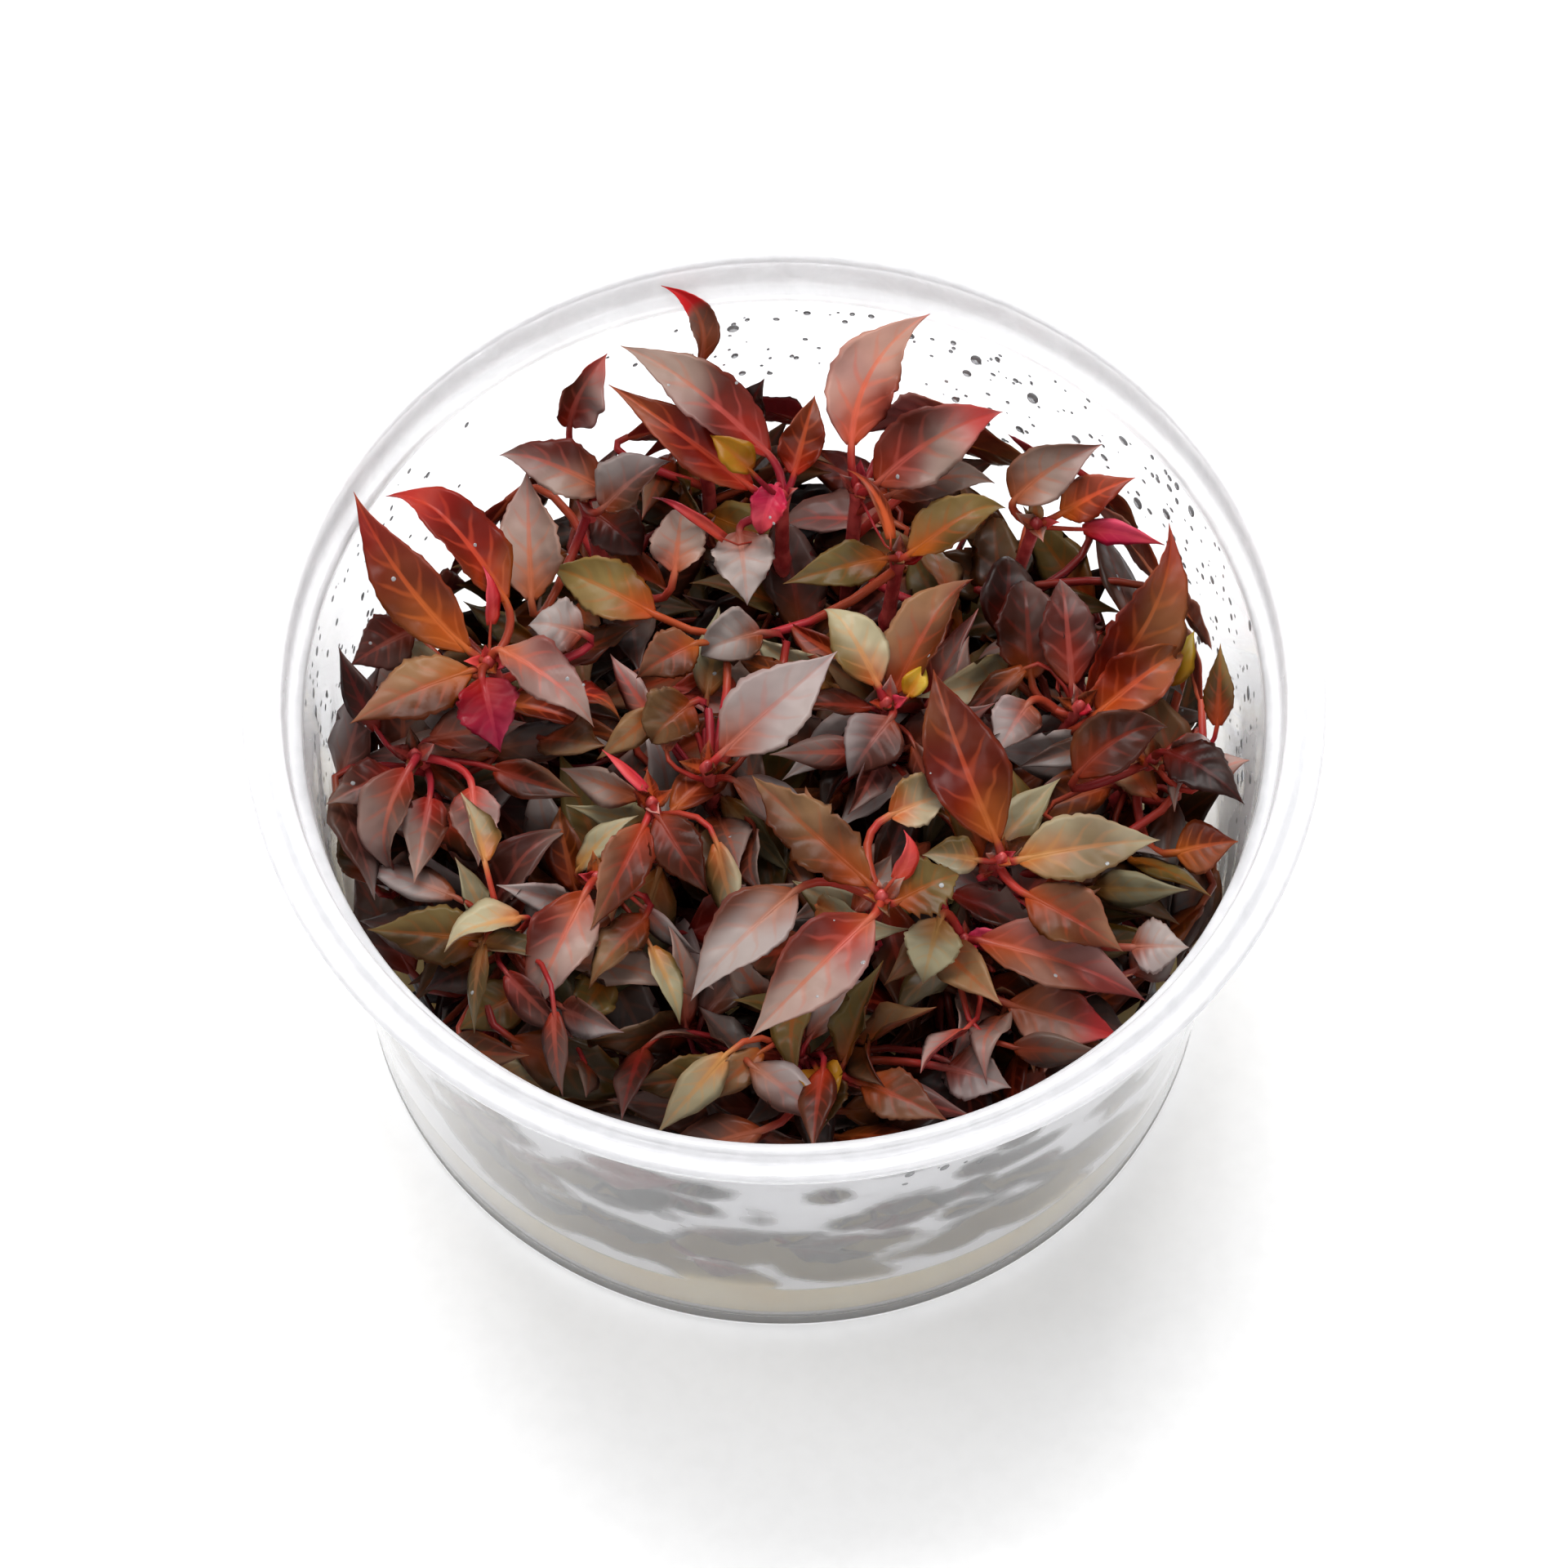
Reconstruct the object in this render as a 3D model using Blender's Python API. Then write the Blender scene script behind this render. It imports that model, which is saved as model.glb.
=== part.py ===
"""Clear round culture cup packed with small red-leaved aquarium plantlets standing in a nutrient gel.

The model stands on z = 0 with the cup's axis on the Z axis. Lengths are in millimetres until a mesh is made.
The plantlets that show best are placed from where the photograph shows them: each named place is a pixel
of the 1920 x 1920 picture together with a height, and lies on the line of sight through that pixel.
"""
import math
import random
from collections import namedtuple

import bpy
from mathutils import Quaternion, Vector
from mathutils.bvhtree import BVHTree

MM = 0.001
GAP = 0.3
STALK_CLEARANCE = 1.0

# Cup
CUP_HEIGHT = 60.5
FLANGE_RADIUS = 55.0
FLANGE_THICKNESS = 1.3
CREST_RADIUS = 51.9
GROOVE_RADIUS = 53.2
BAND_RADIUS = 50.5
LEDGE_HEIGHT = 55.0
WALL_TOP_RADIUS = 49.1
WALL_THICKNESS = 0.7
BASE_RADIUS = 45.0
FOOT_OUTER_RADIUS = 44.6
FOOT_INNER_RADIUS = 38.0
FOOT_RECESS = 0.7
FLOOR_HEIGHT = 1.6
CUP_SEGMENTS = 40

# Culture gel
GEL_TOP = 12.0
GEL_SEGMENTS = 40
SOCKET_DEPTH = 4.0

# Stems
STEM_BASE_RADIUS = 1.0
STEM_TIP_RADIUS = 0.75
STEM_SIDES = 6
STEM_STEPS = 4
ROOT_SPREAD = 0.8
BUD_HEIGHT = 1.2
NODE_SPACING = 20.0
SEED = 11

# Leaves
STALK_HALF_WIDTH = 0.5
BLADE_THICKNESS = 0.75
LEAF_FOLD = 14.0
LEAF_FACE = Vector((0.0, -0.25, 1.0))
SMALL_LEAF_ARCH = 0.08
SLIDES = (0.0, 0.7, -0.7, 1.4, -1.4, 2.1, -2.1, 2.8, -2.8, 3.5, -3.5, 4.5, -4.5, 6.0, -6.0)
DROPS = (0.8, 2.0, 3.2, 4.4, 6.0, 8.0, 11.0)

# Leaves against the wall: their number besides those seen, and where they may lie
WALL_LEAF_COUNT = 32
WALL_LEAF_HEIGHTS = (17.0, 45.0)
WALL_LEAF_LENGTHS = (10.0, 14.0)
WALL_LEAF_WIDTH = 0.24
WALL_LEAF_ARCH = 0.035
WALL_LEAF_SLOPE = 0.8
WALL_TURNS = (0.0, 0.15, -0.15, 0.3, -0.3)
WALL_INSETS = (0.95, 1.3, 2.0, 3.0, 4.5)
GOLDEN_ANGLE = 2.39996
GOLDEN_SHARE = 0.618

# Line of sight of the photograph
VIEW_ELEVATION = math.radians(62.31)
VIEW_DISTANCE = 622.8
VIEW_TARGET = Vector((0.0, 0.0, 37.8))
VIEW_FOCAL_PIXELS = 7299.6
VIEW_CENTRE = (959.5, 960.0)

# Plantlets: the pixel and height of the point where each one's top leaves meet
PLANTLETS = {
    "left": ((598, 812), 51.0),
    "back_left": ((712, 606), 49.0),
    "back": ((957, 608), 50.0),
    "back_right": ((1050, 600), 49.0),
    "inner_back": ((1100, 684), 47.0),
    "right_back": ((1268, 642), 49.0),
    "right": ((1322, 866), 46.0),
    "middle_right": ((1086, 862), 48.0),
    "middle": ((866, 940), 49.0),
    "middle_left": ((797, 984), 51.0),
    "right_front": ((1226, 1052), 51.0),
    "front": ((1079, 1098), 53.0),
    "front_left": ((730, 1076), 46.0),
    "left_front": ((614, 1154), 44.0),
    "far_left": ((508, 925), 47.0),
    "far_right": ((1412, 930), 47.0),
    "front_right": ((1180, 1152), 46.0),
    "low_front": ((985, 1300), 43.0),
    "wall_back": ((853, 470), 49.0),
}

# A leaf seen in the photograph: plantlet, tip pixel and height, blade base pixel and height, half width,
# roll in degrees, arch and sideways bend as shares of the length, and colour
Sighting = namedtuple("Sighting", "plantlet tip tip_z neck neck_z half_width roll arch bend colour")

# Leaves that show best, each a piece of its own
TOP_LEAVES = (
    Sighting("left", (432, 601), 59.0, (572, 795), 52.0, 3.3, -12, 0.05, -0.05, "ember"),
    Sighting("left", (475, 575), 59.0, (618, 735), 52.5, 3.3, 20, 0.12, 0.0, "ember"),
    Sighting("left", (427, 886), 51.0, (575, 822), 51.5, 3.3, 5, 0.08, 0.0, "bronze"),
    Sighting("left", (735, 885), 52.0, (614, 797), 53.0, 2.9, -15, 0.10, 0.0, "mauve"),
    Sighting("back_left", (603, 544), 54.5, (742, 600), 51.0, 2.9, 0, 0.10, 0.0, "mauve"),
    Sighting("back_left", (748, 433), 58.0, (697, 520), 52.5, 2.2, 35, 0.12, -0.15, "mauve"),
    Sighting("back_left", (821, 556), 54.0, (738, 622), 50.5, 2.8, -10, 0.08, 0.0, "grey"),
    Sighting("back", (757, 412), 59.0, (940, 556), 53.0, 3.3, 10, 0.08, 0.0, "mauve"),
    Sighting("back", (743, 470), 56.5, (918, 596), 51.5, 2.6, -5, 0.08, 0.0, "ember"),
    Sighting("back", (998, 478), 57.0, (972, 580), 52.0, 2.2, 0, 0.05, 0.0, "ember"),
    Sighting("back_right", (1141, 382), 59.5, (1042, 545), 53.0, 3.7, 0, 0.05, -0.13, "rose"),
    Sighting("back_right", (1237, 497), 58.0, (1074, 592), 52.0, 3.8, 12, 0.12, -0.06, "mauve"),
    Sighting("back_right", (1224, 583), 52.5, (1090, 606), 50.0, 2.3, 0, 0.08, -0.05, "mauve"),
    Sighting("inner_back", (1235, 600), 52.5, (1114, 678), 48.5, 2.6, -10, 0.06, 0.0, "olive"),
    Sighting("inner_back", (958, 715), 49.5, (1084, 684), 48.5, 2.3, 0, 0.08, 0.0, "olive"),
    Sighting("right_back", (1350, 544), 56.0, (1242, 612), 51.0, 2.9, 10, 0.10, -0.06, "mauve"),
    Sighting("right_back", (1389, 583), 55.5, (1300, 628), 50.5, 2.3, 0, 0.06, 0.0, "ember"),
    Sighting("right", (1441, 635), 56.5, (1332, 850), 48.5, 3.9, 22, 0.08, 0.08, "ember"),
    Sighting("middle_right", (1190, 690), 54.0, (1094, 848), 49.5, 3.0, -15, 0.08, 0.0, "bronze"),
    Sighting("middle_right", (1010, 727), 53.0, (1074, 838), 49.5, 2.9, 12, 0.06, 0.0, "pale"),
    Sighting("middle", (1028, 797), 54.5, (884, 922), 50.5, 4.0, 0, 0.07, 0.0, "grey"),
    Sighting("middle_left", (868, 1098), 50.5, (806, 1000), 52.0, 2.6, 10, 0.08, 0.0, "bronze"),
    Sighting("middle_left", (722, 1140), 49.0, (788, 1012), 52.0, 2.5, -8, 0.08, 0.0, "bronze"),
    Sighting("right_front", (1141, 813), 56.5, (1220, 1030), 52.5, 4.1, 0, 0.06, -0.03, "ember"),
    Sighting("right_front", (1424, 1026), 53.0, (1248, 1053), 52.0, 3.4, 0, 0.08, 0.0, "pale"),
    Sighting("front", (915, 1275), 50.0, (1066, 1124), 53.5, 3.9, 0, 0.08, 0.0, "mauve"),
    Sighting("front", (914, 945), 54.5, (1064, 1082), 54.0, 3.1, -12, 0.08, 0.0, "bronze"),
    Sighting("front", (839, 1225), 49.5, (972, 1092), 52.0, 3.6, 8, 0.08, 0.0, "grey"),
    Sighting("front", (1180, 1066), 54.0, (1098, 1104), 53.5, 3.0, 0, 0.10, 0.0, "olive"),
    Sighting("front_left", (644, 1249), 45.0, (716, 1094), 48.5, 3.3, 0, 0.08, 0.0, "mauve"),
    Sighting("left_front", (449, 1138), 46.5, (598, 1152), 46.0, 3.0, -8, 0.08, 0.0, "olive"),
    Sighting("far_left", (471, 1082), 46.0, (499, 944), 49.5, 2.6, 15, 0.10, 0.06, "mauve"),
    Sighting("far_right", (1524, 985), 50.5, (1428, 922), 49.0, 3.0, -15, 0.14, 0.0, "dark"),
    Sighting("front_right", (1412, 1222), 46.0, (1200, 1152), 47.0, 3.4, -10, 0.08, 0.0, "rose"),
    Sighting("front_right", (1375, 1270), 44.0, (1236, 1230), 44.5, 3.2, 10, 0.06, 0.0, "rose"),
    Sighting("low_front", (1160, 1372), 47.0, (1056, 1326), 45.5, 2.6, 0, 0.08, 0.0, "bronze"),
    Sighting("low_front", (1004, 1388), 45.5, (1006, 1318), 45.5, 2.6, 0, 0.08, 0.0, "olive"),
    Sighting("low_front", (764, 1332), 43.5, (900, 1318), 43.5, 2.4, 0, 0.08, 0.0, "olive"),
    Sighting("wall_back", (812, 348), 59.8, (856, 440), 53.0, 1.5, 10, 0.04, 0.2, "rose"),
)

# Leaves half hidden among the others, fused to their stems
TUCKED_LEAVES = (
    Sighting("back_left", (645, 572), 52.0, (650, 735), 47.0, 3.4, 0, 0.05, 0.0, "mauve"),
    Sighting("back_left", (792, 682), 46.0, (728, 628), 48.0, 3.0, 0, 0.10, 0.0, "dark"),
    Sighting("back_left", (835, 612), 49.5, (826, 700), 46.5, 2.8, 0, 0.06, 0.0, "mauve"),
    Sighting("wall_back", (936, 462), 55.0, (905, 530), 50.0, 2.4, 0, 0.10, 0.0, "dark"),
    Sighting("back", (926, 660), 49.0, (950, 596), 51.5, 1.8, 0, 0.08, 0.0, "magenta"),
    Sighting("left", (612, 922), 49.0, (590, 832), 52.0, 3.2, 0, 0.10, 0.0, "magenta"),
    Sighting("left", (428, 815), 48.0, (505, 772), 50.0, 3.0, 0, 0.10, 0.0, "mauve"),
    Sighting("left", (642, 760), 50.0, (712, 775), 48.5, 2.8, 0, 0.10, 0.0, "grey"),
    Sighting("inner_back", (668, 690), 46.0, (800, 752), 46.0, 3.2, 0, 0.10, 0.0, "olive"),
    Sighting("back", (915, 742), 46.0, (905, 652), 48.0, 3.2, 0, 0.10, 0.0, "grey"),
    Sighting("middle", (775, 830), 47.5, (852, 788), 48.0, 2.6, 0, 0.12, 0.0, "bronze"),
    Sighting("middle", (850, 800), 47.0, (930, 775), 47.0, 2.8, 0, 0.10, 0.0, "grey"),
    Sighting("middle", (790, 912), 47.0, (845, 862), 48.5, 3.0, 0, 0.10, 0.0, "bronze"),
    Sighting("middle_right", (1035, 955), 47.5, (1090, 880), 49.0, 3.2, 0, 0.10, 0.0, "grey"),
    Sighting("right", (1252, 690), 50.0, (1262, 830), 45.0, 3.4, 0, 0.08, 0.0, "dark"),
    Sighting("right", (1298, 690), 50.0, (1312, 838), 46.0, 2.9, 0, 0.08, 0.0, "mauve"),
    Sighting("right", (1462, 782), 50.0, (1345, 872), 46.5, 3.0, 0, 0.08, 0.0, "ember"),
    Sighting("right", (1218, 925), 46.0, (1258, 862), 46.0, 2.6, 0, 0.08, 0.0, "grey"),
    Sighting("far_right", (1437, 880), 52.0, (1318, 950), 49.0, 3.2, 0, 0.10, -0.08, "bronze"),
    Sighting("far_right", (1494, 788), 54.0, (1490, 888), 49.0, 1.5, 0, 0.06, 0.0, "olive"),
    Sighting("far_right", (1516, 1030), 47.0, (1440, 1044), 45.0, 2.8, 0, 0.10, 0.0, "ember"),
    Sighting("far_left", (398, 985), 49.0, (482, 948), 48.0, 2.5, 0, 0.10, 0.0, "mauve"),
    Sighting("far_left", (412, 1002), 45.0, (452, 1078), 42.0, 2.0, 0, 0.05, 0.0, "olive"),
    Sighting("far_left", (586, 1062), 46.0, (578, 965), 47.5, 2.5, 0, 0.10, 0.0, "mauve"),
    Sighting("front_right", (1128, 1208), 47.5, (1150, 1126), 50.0, 2.8, 0, 0.10, 0.0, "pale"),
    Sighting("right_front", (1376, 1166), 47.5, (1258, 1096), 49.5, 3.2, 0, 0.10, 0.0, "bronze"),
    Sighting("right_front", (1456, 1160), 47.0, (1385, 1160), 46.0, 2.8, 0, 0.10, 0.0, "grey"),
    Sighting("low_front", (1238, 1332), 45.0, (1160, 1308), 44.0, 2.8, 0, 0.10, 0.0, "grey"),
    Sighting("front", (1164, 972), 52.0, (1090, 998), 53.0, 2.6, 0, 0.10, 0.0, "pale"),
    Sighting("left_front", (560, 1262), 42.0, (640, 1215), 43.0, 2.8, 0, 0.10, 0.0, "olive"),
)

# Leaves seen through the front wall, which they touch: tip pixel, blade base pixel and half width
WALL_LEAVES = (
    ((841, 1442), (706, 1412), 3.4),
    ((826, 1490), (690, 1446), 2.8),
    ((838, 1510), (743, 1492), 2.2),
    ((994, 1486), (846, 1498), 3.8),
    ((930, 1552), (852, 1534), 2.2),
    ((657, 1446), (575, 1366), 1.8),
    ((722, 1484), (647, 1444), 2.0),
    ((1073, 1530), (968, 1518), 2.0),
    ((1146, 1449), (1066, 1472), 2.0),
    ((1302, 1424), (1206, 1458), 2.4),
    ((1381, 1347), (1286, 1408), 2.2),
    ((1212, 1464), (1130, 1500), 2.0),
)

# Colour, roughness
COLOURS = {
    "cup": ((0.90, 0.91, 0.93), 0.30),
    "gel": ((0.90, 0.84, 0.68), 0.25),
    "stem": ((0.50, 0.06, 0.07), 0.45),
    "ember": ((0.36, 0.06, 0.03), 0.40),
    "bronze": ((0.26, 0.12, 0.09), 0.40),
    "mauve": ((0.34, 0.20, 0.21), 0.38),
    "grey": ((0.36, 0.31, 0.32), 0.38),
    "rose": ((0.45, 0.16, 0.16), 0.40),
    "olive": ((0.25, 0.17, 0.05), 0.42),
    "pale": ((0.42, 0.38, 0.30), 0.40),
    "dark": ((0.12, 0.03, 0.03), 0.40),
    "magenta": ((0.55, 0.02, 0.13), 0.40),
}

# Shares of the leaf stalk and of the blade where a leaf has its sections
Detail = namedtuple("Detail", "stalk blade")
FULL_LEAF = Detail((0.0, 0.5), (0.0, 0.18, 0.38, 0.6, 0.82, 1.0))
SMALL_LEAF = Detail((0.0,), (0.0, 0.32, 0.66, 1.0))

# A leaf runs from its root on the stem through the neck of its blade to its tip
Leaf = namedtuple("Leaf", "root neck tip half_width roll arch bend")

# Where a blade lies: its base and tip, its half width, and the direction that its upper face looks in
Place = namedtuple("Place", "neck tip half_width facing")

# A closed surface as corner points and faces
Shape = namedtuple("Shape", "verts faces")


def clear_scene():
    """Remove every object, so that the file holds the cup and its plants alone."""
    for old in list(bpy.data.objects):
        bpy.data.objects.remove(old, do_unlink=True)


def finish(name):
    """Plain glossy material in one of the named colours."""
    if name in bpy.data.materials:
        return bpy.data.materials[name]
    colour, roughness = COLOURS[name]
    material = bpy.data.materials.new(name)
    material.use_nodes = True
    shader = material.node_tree.nodes["Principled BSDF"]
    shader.inputs["Base Color"].default_value = (*colour, 1.0)
    shader.inputs["Roughness"].default_value = roughness
    shader.inputs["Metallic"].default_value = 0.0
    material.diffuse_color = (*colour, 1.0)
    return material


def add_object(name, shape, colour, smooth_angle=None):
    """Object of that name from a shape in millimetres."""
    mesh = bpy.data.meshes.new(name)
    mesh.from_pydata([v * MM for v in shape.verts], [], shape.faces)
    mesh.materials.append(finish(colour))
    if smooth_angle is not None:
        mesh.shade_smooth()
        mesh.set_sharp_from_angle(angle=math.radians(smooth_angle))
    thing = bpy.data.objects.new(name, mesh)
    bpy.context.scene.collection.objects.link(thing)
    return thing


def turned(profile, segments):
    """Closed solid turned about the Z axis; the section starts and ends on the axis."""
    verts = [Vector((0.0, 0.0, profile[0][1]))]
    rings = []
    for radius, height in profile[1:-1]:
        rings.append(len(verts))
        for i in range(segments):
            angle = 2 * math.pi * i / segments
            verts.append(Vector((radius * math.cos(angle), radius * math.sin(angle), height)))
    last = len(verts)
    verts.append(Vector((0.0, 0.0, profile[-1][1])))
    faces = []
    for i in range(segments):
        j = (i + 1) % segments
        faces.append((0, rings[0] + j, rings[0] + i))
        for low, high in zip(rings, rings[1:]):
            faces.append((low + i, low + j, high + j, high + i))
        faces.append((last, rings[-1] + i, rings[-1] + j))
    return Shape(verts, faces)


def inner_radius(height):
    """Radius of the cup's inner wall at a height."""
    if height >= LEDGE_HEIGHT:
        return BAND_RADIUS
    rise = (height - FLOOR_HEIGHT) / (LEDGE_HEIGHT - FLOOR_HEIGHT)
    return BASE_RADIUS + (WALL_TOP_RADIUS - BASE_RADIUS) * rise


def cup_profile():
    """Section of the cup: up its outside, over the rim and down its inside."""
    top = CUP_HEIGHT
    flange_top = top - 0.75
    flange_bottom = flange_top - FLANGE_THICKNESS
    outer_base = BASE_RADIUS + WALL_THICKNESS
    outer_top = WALL_TOP_RADIUS + WALL_THICKNESS
    outer_band = BAND_RADIUS + WALL_THICKNESS
    return [
        (0.0, FOOT_RECESS),
        (FOOT_INNER_RADIUS - FOOT_RECESS, FOOT_RECESS),
        (FOOT_INNER_RADIUS, 0.0),
        (FOOT_OUTER_RADIUS, 0.0),
        (outer_base + 0.2, 1.1),
        (outer_base, 2.2),
        (outer_top, LEDGE_HEIGHT - 0.6),
        (outer_band, LEDGE_HEIGHT + 0.4),
        (outer_band + 0.1, flange_bottom),
        (FLANGE_RADIUS - 0.3, flange_bottom - 0.4),
        (FLANGE_RADIUS, flange_top - 0.5),
        (FLANGE_RADIUS - 0.5, flange_top),
        (GROOVE_RADIUS, flange_top - 0.35),
        (CREST_RADIUS + 0.5, top - 0.1),
        (CREST_RADIUS, top),
        (CREST_RADIUS - 1.0, top - 0.9),
        (BAND_RADIUS, LEDGE_HEIGHT + 0.6),
        (WALL_TOP_RADIUS, LEDGE_HEIGHT),
        (BASE_RADIUS + 0.1, FLOOR_HEIGHT + 1.3),
        (BASE_RADIUS - 1.6, FLOOR_HEIGHT),
        (0.0, FLOOR_HEIGHT),
    ]


def gel_profile():
    """Section of the gel, a gap inside the cup, with a low meniscus where it meets the wall."""
    floor = FLOOR_HEIGHT + GAP
    return [
        (0.0, floor),
        (BASE_RADIUS - 1.9, floor),
        (inner_radius(floor + 1.4) - GAP, floor + 1.4),
        (inner_radius(GEL_TOP) - GAP, GEL_TOP + 0.5),
        (inner_radius(GEL_TOP) - 2.2, GEL_TOP),
        (0.0, GEL_TOP),
    ]


def sight_point(pixel, height):
    """The point of that height on the photograph's line of sight through a pixel."""
    back = Vector((0.0, -math.cos(VIEW_ELEVATION), math.sin(VIEW_ELEVATION)))
    up = Vector((0.0, math.sin(VIEW_ELEVATION), math.cos(VIEW_ELEVATION)))
    right = Vector((1.0, 0.0, 0.0))
    eye = VIEW_TARGET + back * VIEW_DISTANCE
    across = (pixel[0] - VIEW_CENTRE[0]) / VIEW_FOCAL_PIXELS
    down = (pixel[1] - VIEW_CENTRE[1]) / VIEW_FOCAL_PIXELS
    ray = right * across - up * down - back
    return eye + ray * ((height - eye.z) / ray.z)


def bezier(a, b, c, t):
    """Point of a curve with three control points."""
    return a * (1 - t) ** 2 + b * (2 * t * (1 - t)) + c * t ** 2


def stem_ends(plantlet):
    """Where a plantlet's stem leaves the bottom of its socket, and where its top leaves meet."""
    pixel, height = PLANTLETS[plantlet]
    top = sight_point(pixel, height)
    root = Vector((top.x * ROOT_SPREAD, top.y * ROOT_SPREAD, GEL_TOP - SOCKET_DEPTH))
    return root, top


def stem_point(plantlet, height):
    """Point of a stem's middle line at a height; it stands up straight and then leans out."""
    root, top = stem_ends(plantlet)
    upright = Vector((root.x, root.y, (root.z + top.z) / 2))
    return bezier(root, upright, top, (height - root.z) / (top.z - root.z))


def stem_radius(plantlet, height):
    """Radius of a stem at a height."""
    root, top = stem_ends(plantlet)
    rise = (height - root.z) / (top.z - root.z)
    return STEM_BASE_RADIUS + (STEM_TIP_RADIUS - STEM_BASE_RADIUS) * rise


def stem_shape(plantlet):
    """Tapered tube of a stem, closed by the pointed bud at its top."""
    root, top = stem_ends(plantlet)
    verts = []
    for step in range(STEM_STEPS + 1):
        height = root.z + (top.z - root.z) * step / STEM_STEPS
        middle = stem_point(plantlet, height)
        radius = stem_radius(plantlet, height)
        for side in range(STEM_SIDES):
            angle = 2 * math.pi * side / STEM_SIDES
            verts.append(middle + Vector((radius * math.cos(angle), radius * math.sin(angle), 0.0)))
    verts.append(top + Vector((0.0, 0.0, BUD_HEIGHT)))
    faces = [tuple(reversed(range(STEM_SIDES)))]
    for step in range(STEM_STEPS):
        low = step * STEM_SIDES
        high = low + STEM_SIDES
        for side in range(STEM_SIDES):
            after = (side + 1) % STEM_SIDES
            faces.append((low + side, low + after, high + after, high + side))
    rim = STEM_STEPS * STEM_SIDES
    for side in range(STEM_SIDES):
        faces.append((rim + side, rim + (side + 1) % STEM_SIDES, len(verts) - 1))
    return Shape(verts, faces)


def leaf_up(leaf):
    """Direction that the middle of a leaf's upper face looks in."""
    along = (leaf.tip - leaf.neck).normalized()
    up = (LEAF_FACE - along * LEAF_FACE.dot(along)).normalized()
    up.rotate(Quaternion(along, math.radians(leaf.roll)))
    return up


def blade_outline(share):
    """Half width of a blade as a share of its widest, from its neck to its drawn-out tip."""
    return max(0.0, math.sin(math.pi * share ** 0.8)) ** 1.15


def leaf_sections(leaf, detail):
    """Middle point, half width and thickness of each section from the stem to the tip."""
    up = leaf_up(leaf)
    length = (leaf.tip - leaf.neck).length
    right = (leaf.tip - leaf.neck).normalized().cross(up)
    crown = (leaf.tip + leaf.neck) / 2 + (up * leaf.arch + right * leaf.bend) * (2 * length)
    stalk = (leaf.neck - leaf.root).length
    knee = leaf.neck - (crown - leaf.neck).normalized() * stalk / 2
    sections = []
    for share in detail.stalk:
        middle = bezier(leaf.root, knee, leaf.neck, share)
        sections.append((middle, STALK_HALF_WIDTH, 2 * STALK_HALF_WIDTH))
    for share in detail.blade:
        middle = bezier(leaf.neck, crown, leaf.tip, share)
        stalk_share = (1 - share) ** 4
        width = leaf.half_width * blade_outline(share) + STALK_HALF_WIDTH * stalk_share
        thickness = BLADE_THICKNESS + (2 * STALK_HALF_WIDTH - BLADE_THICKNESS) * stalk_share
        sections.append((middle, width, thickness))
    return sections


def leaf_shape(leaf, detail):
    """Thin closed blade with a low keel under a shallow fold, on its leaf stalk."""
    right = (leaf.tip - leaf.neck).normalized().cross(leaf_up(leaf))
    sections = leaf_sections(leaf, detail)
    verts = []
    for number, (middle, width, thickness) in enumerate(sections[:-1]):
        tangent = (sections[number + 1][0] - sections[max(number - 1, 0)][0]).normalized()
        across = (right - tangent * right.dot(tangent)).normalized()
        lift = across.cross(tangent)
        bend = math.radians(LEAF_FOLD) if number >= len(detail.stalk) else 0.0
        side = across * (width * math.cos(bend))
        raised = lift * (width * math.sin(bend))
        verts.append(middle - side + raised)
        verts.append(middle + lift * (thickness / 2))
        verts.append(middle + side + raised)
        verts.append(middle - lift * (thickness / 2))
    verts.append(sections[-1][0])
    tip = len(verts) - 1
    faces = [(3, 2, 1, 0)]
    for low in range(0, tip - 4, 4):
        for corner in range(4):
            after = (corner + 1) % 4
            faces.append((low + corner, low + after, low + 4 + after, low + 4 + corner))
    for corner in range(4):
        faces.append((tip - 4 + corner, tip - 4 + (corner + 1) % 4, tip))
    return Shape(verts, faces)


def swollen(shape, amount):
    """The same surface moved outwards at its corners."""
    normals = [Vector() for _ in shape.verts]
    for face in shape.faces:
        a, b, c = (shape.verts[i] for i in face[:3])
        normal = (b - a).cross(c - a).normalized()
        for i in face:
            normals[i] += normal
    return [v + n.normalized() * amount for v, n in zip(shape.verts, normals)]


def tree_of(shape, amount=0.0):
    """Search tree of a shape, swollen by an amount."""
    return BVHTree.FromPolygons(swollen(shape, amount), shape.faces)


def inside_cup(shape):
    """Whether a shape stays above the gel, within the wall and under the crest of the rim."""
    for v in shape.verts:
        if math.hypot(v.x, v.y) > inner_radius(v.z) - 1.5 * GAP:
            return False
        if not GEL_TOP + 3 * GAP < v.z < CUP_HEIGHT - GAP:
            return False
    return True


def is_clear(shape, obstacles):
    """Whether a shape lies in the cup with a gap to everything placed so far."""
    if not inside_cup(shape):
        return False
    tree = tree_of(shape, GAP)
    return not any(tree.overlap(other) for other in obstacles)


def leaf_root(plantlet, neck, tip, height, inset):
    """Point beside a stem where a leaf stalk starts, on the side that its blade lies."""
    height = min(height, PLANTLETS[plantlet][1] - 0.3)
    middle = stem_point(plantlet, height)
    way = (neck - middle) * 2 + (tip - middle) * 0.4
    way.z = 0.0
    return middle + way.normalized() * (stem_radius(plantlet, height) + inset)


def sighting_choices(sighting, inset):
    """Places a seen leaf can take: slid along the lines of sight, and lower or higher on its stem."""
    for slide in SLIDES:
        neck = sight_point(sighting.neck, sighting.neck_z + slide)
        tip = sight_point(sighting.tip, sighting.tip_z + slide)
        for drop in DROPS:
            root = leaf_root(sighting.plantlet, neck, tip, neck.z - drop, inset)
            yield Leaf(root, neck, tip, *sighting[5:9])


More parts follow.
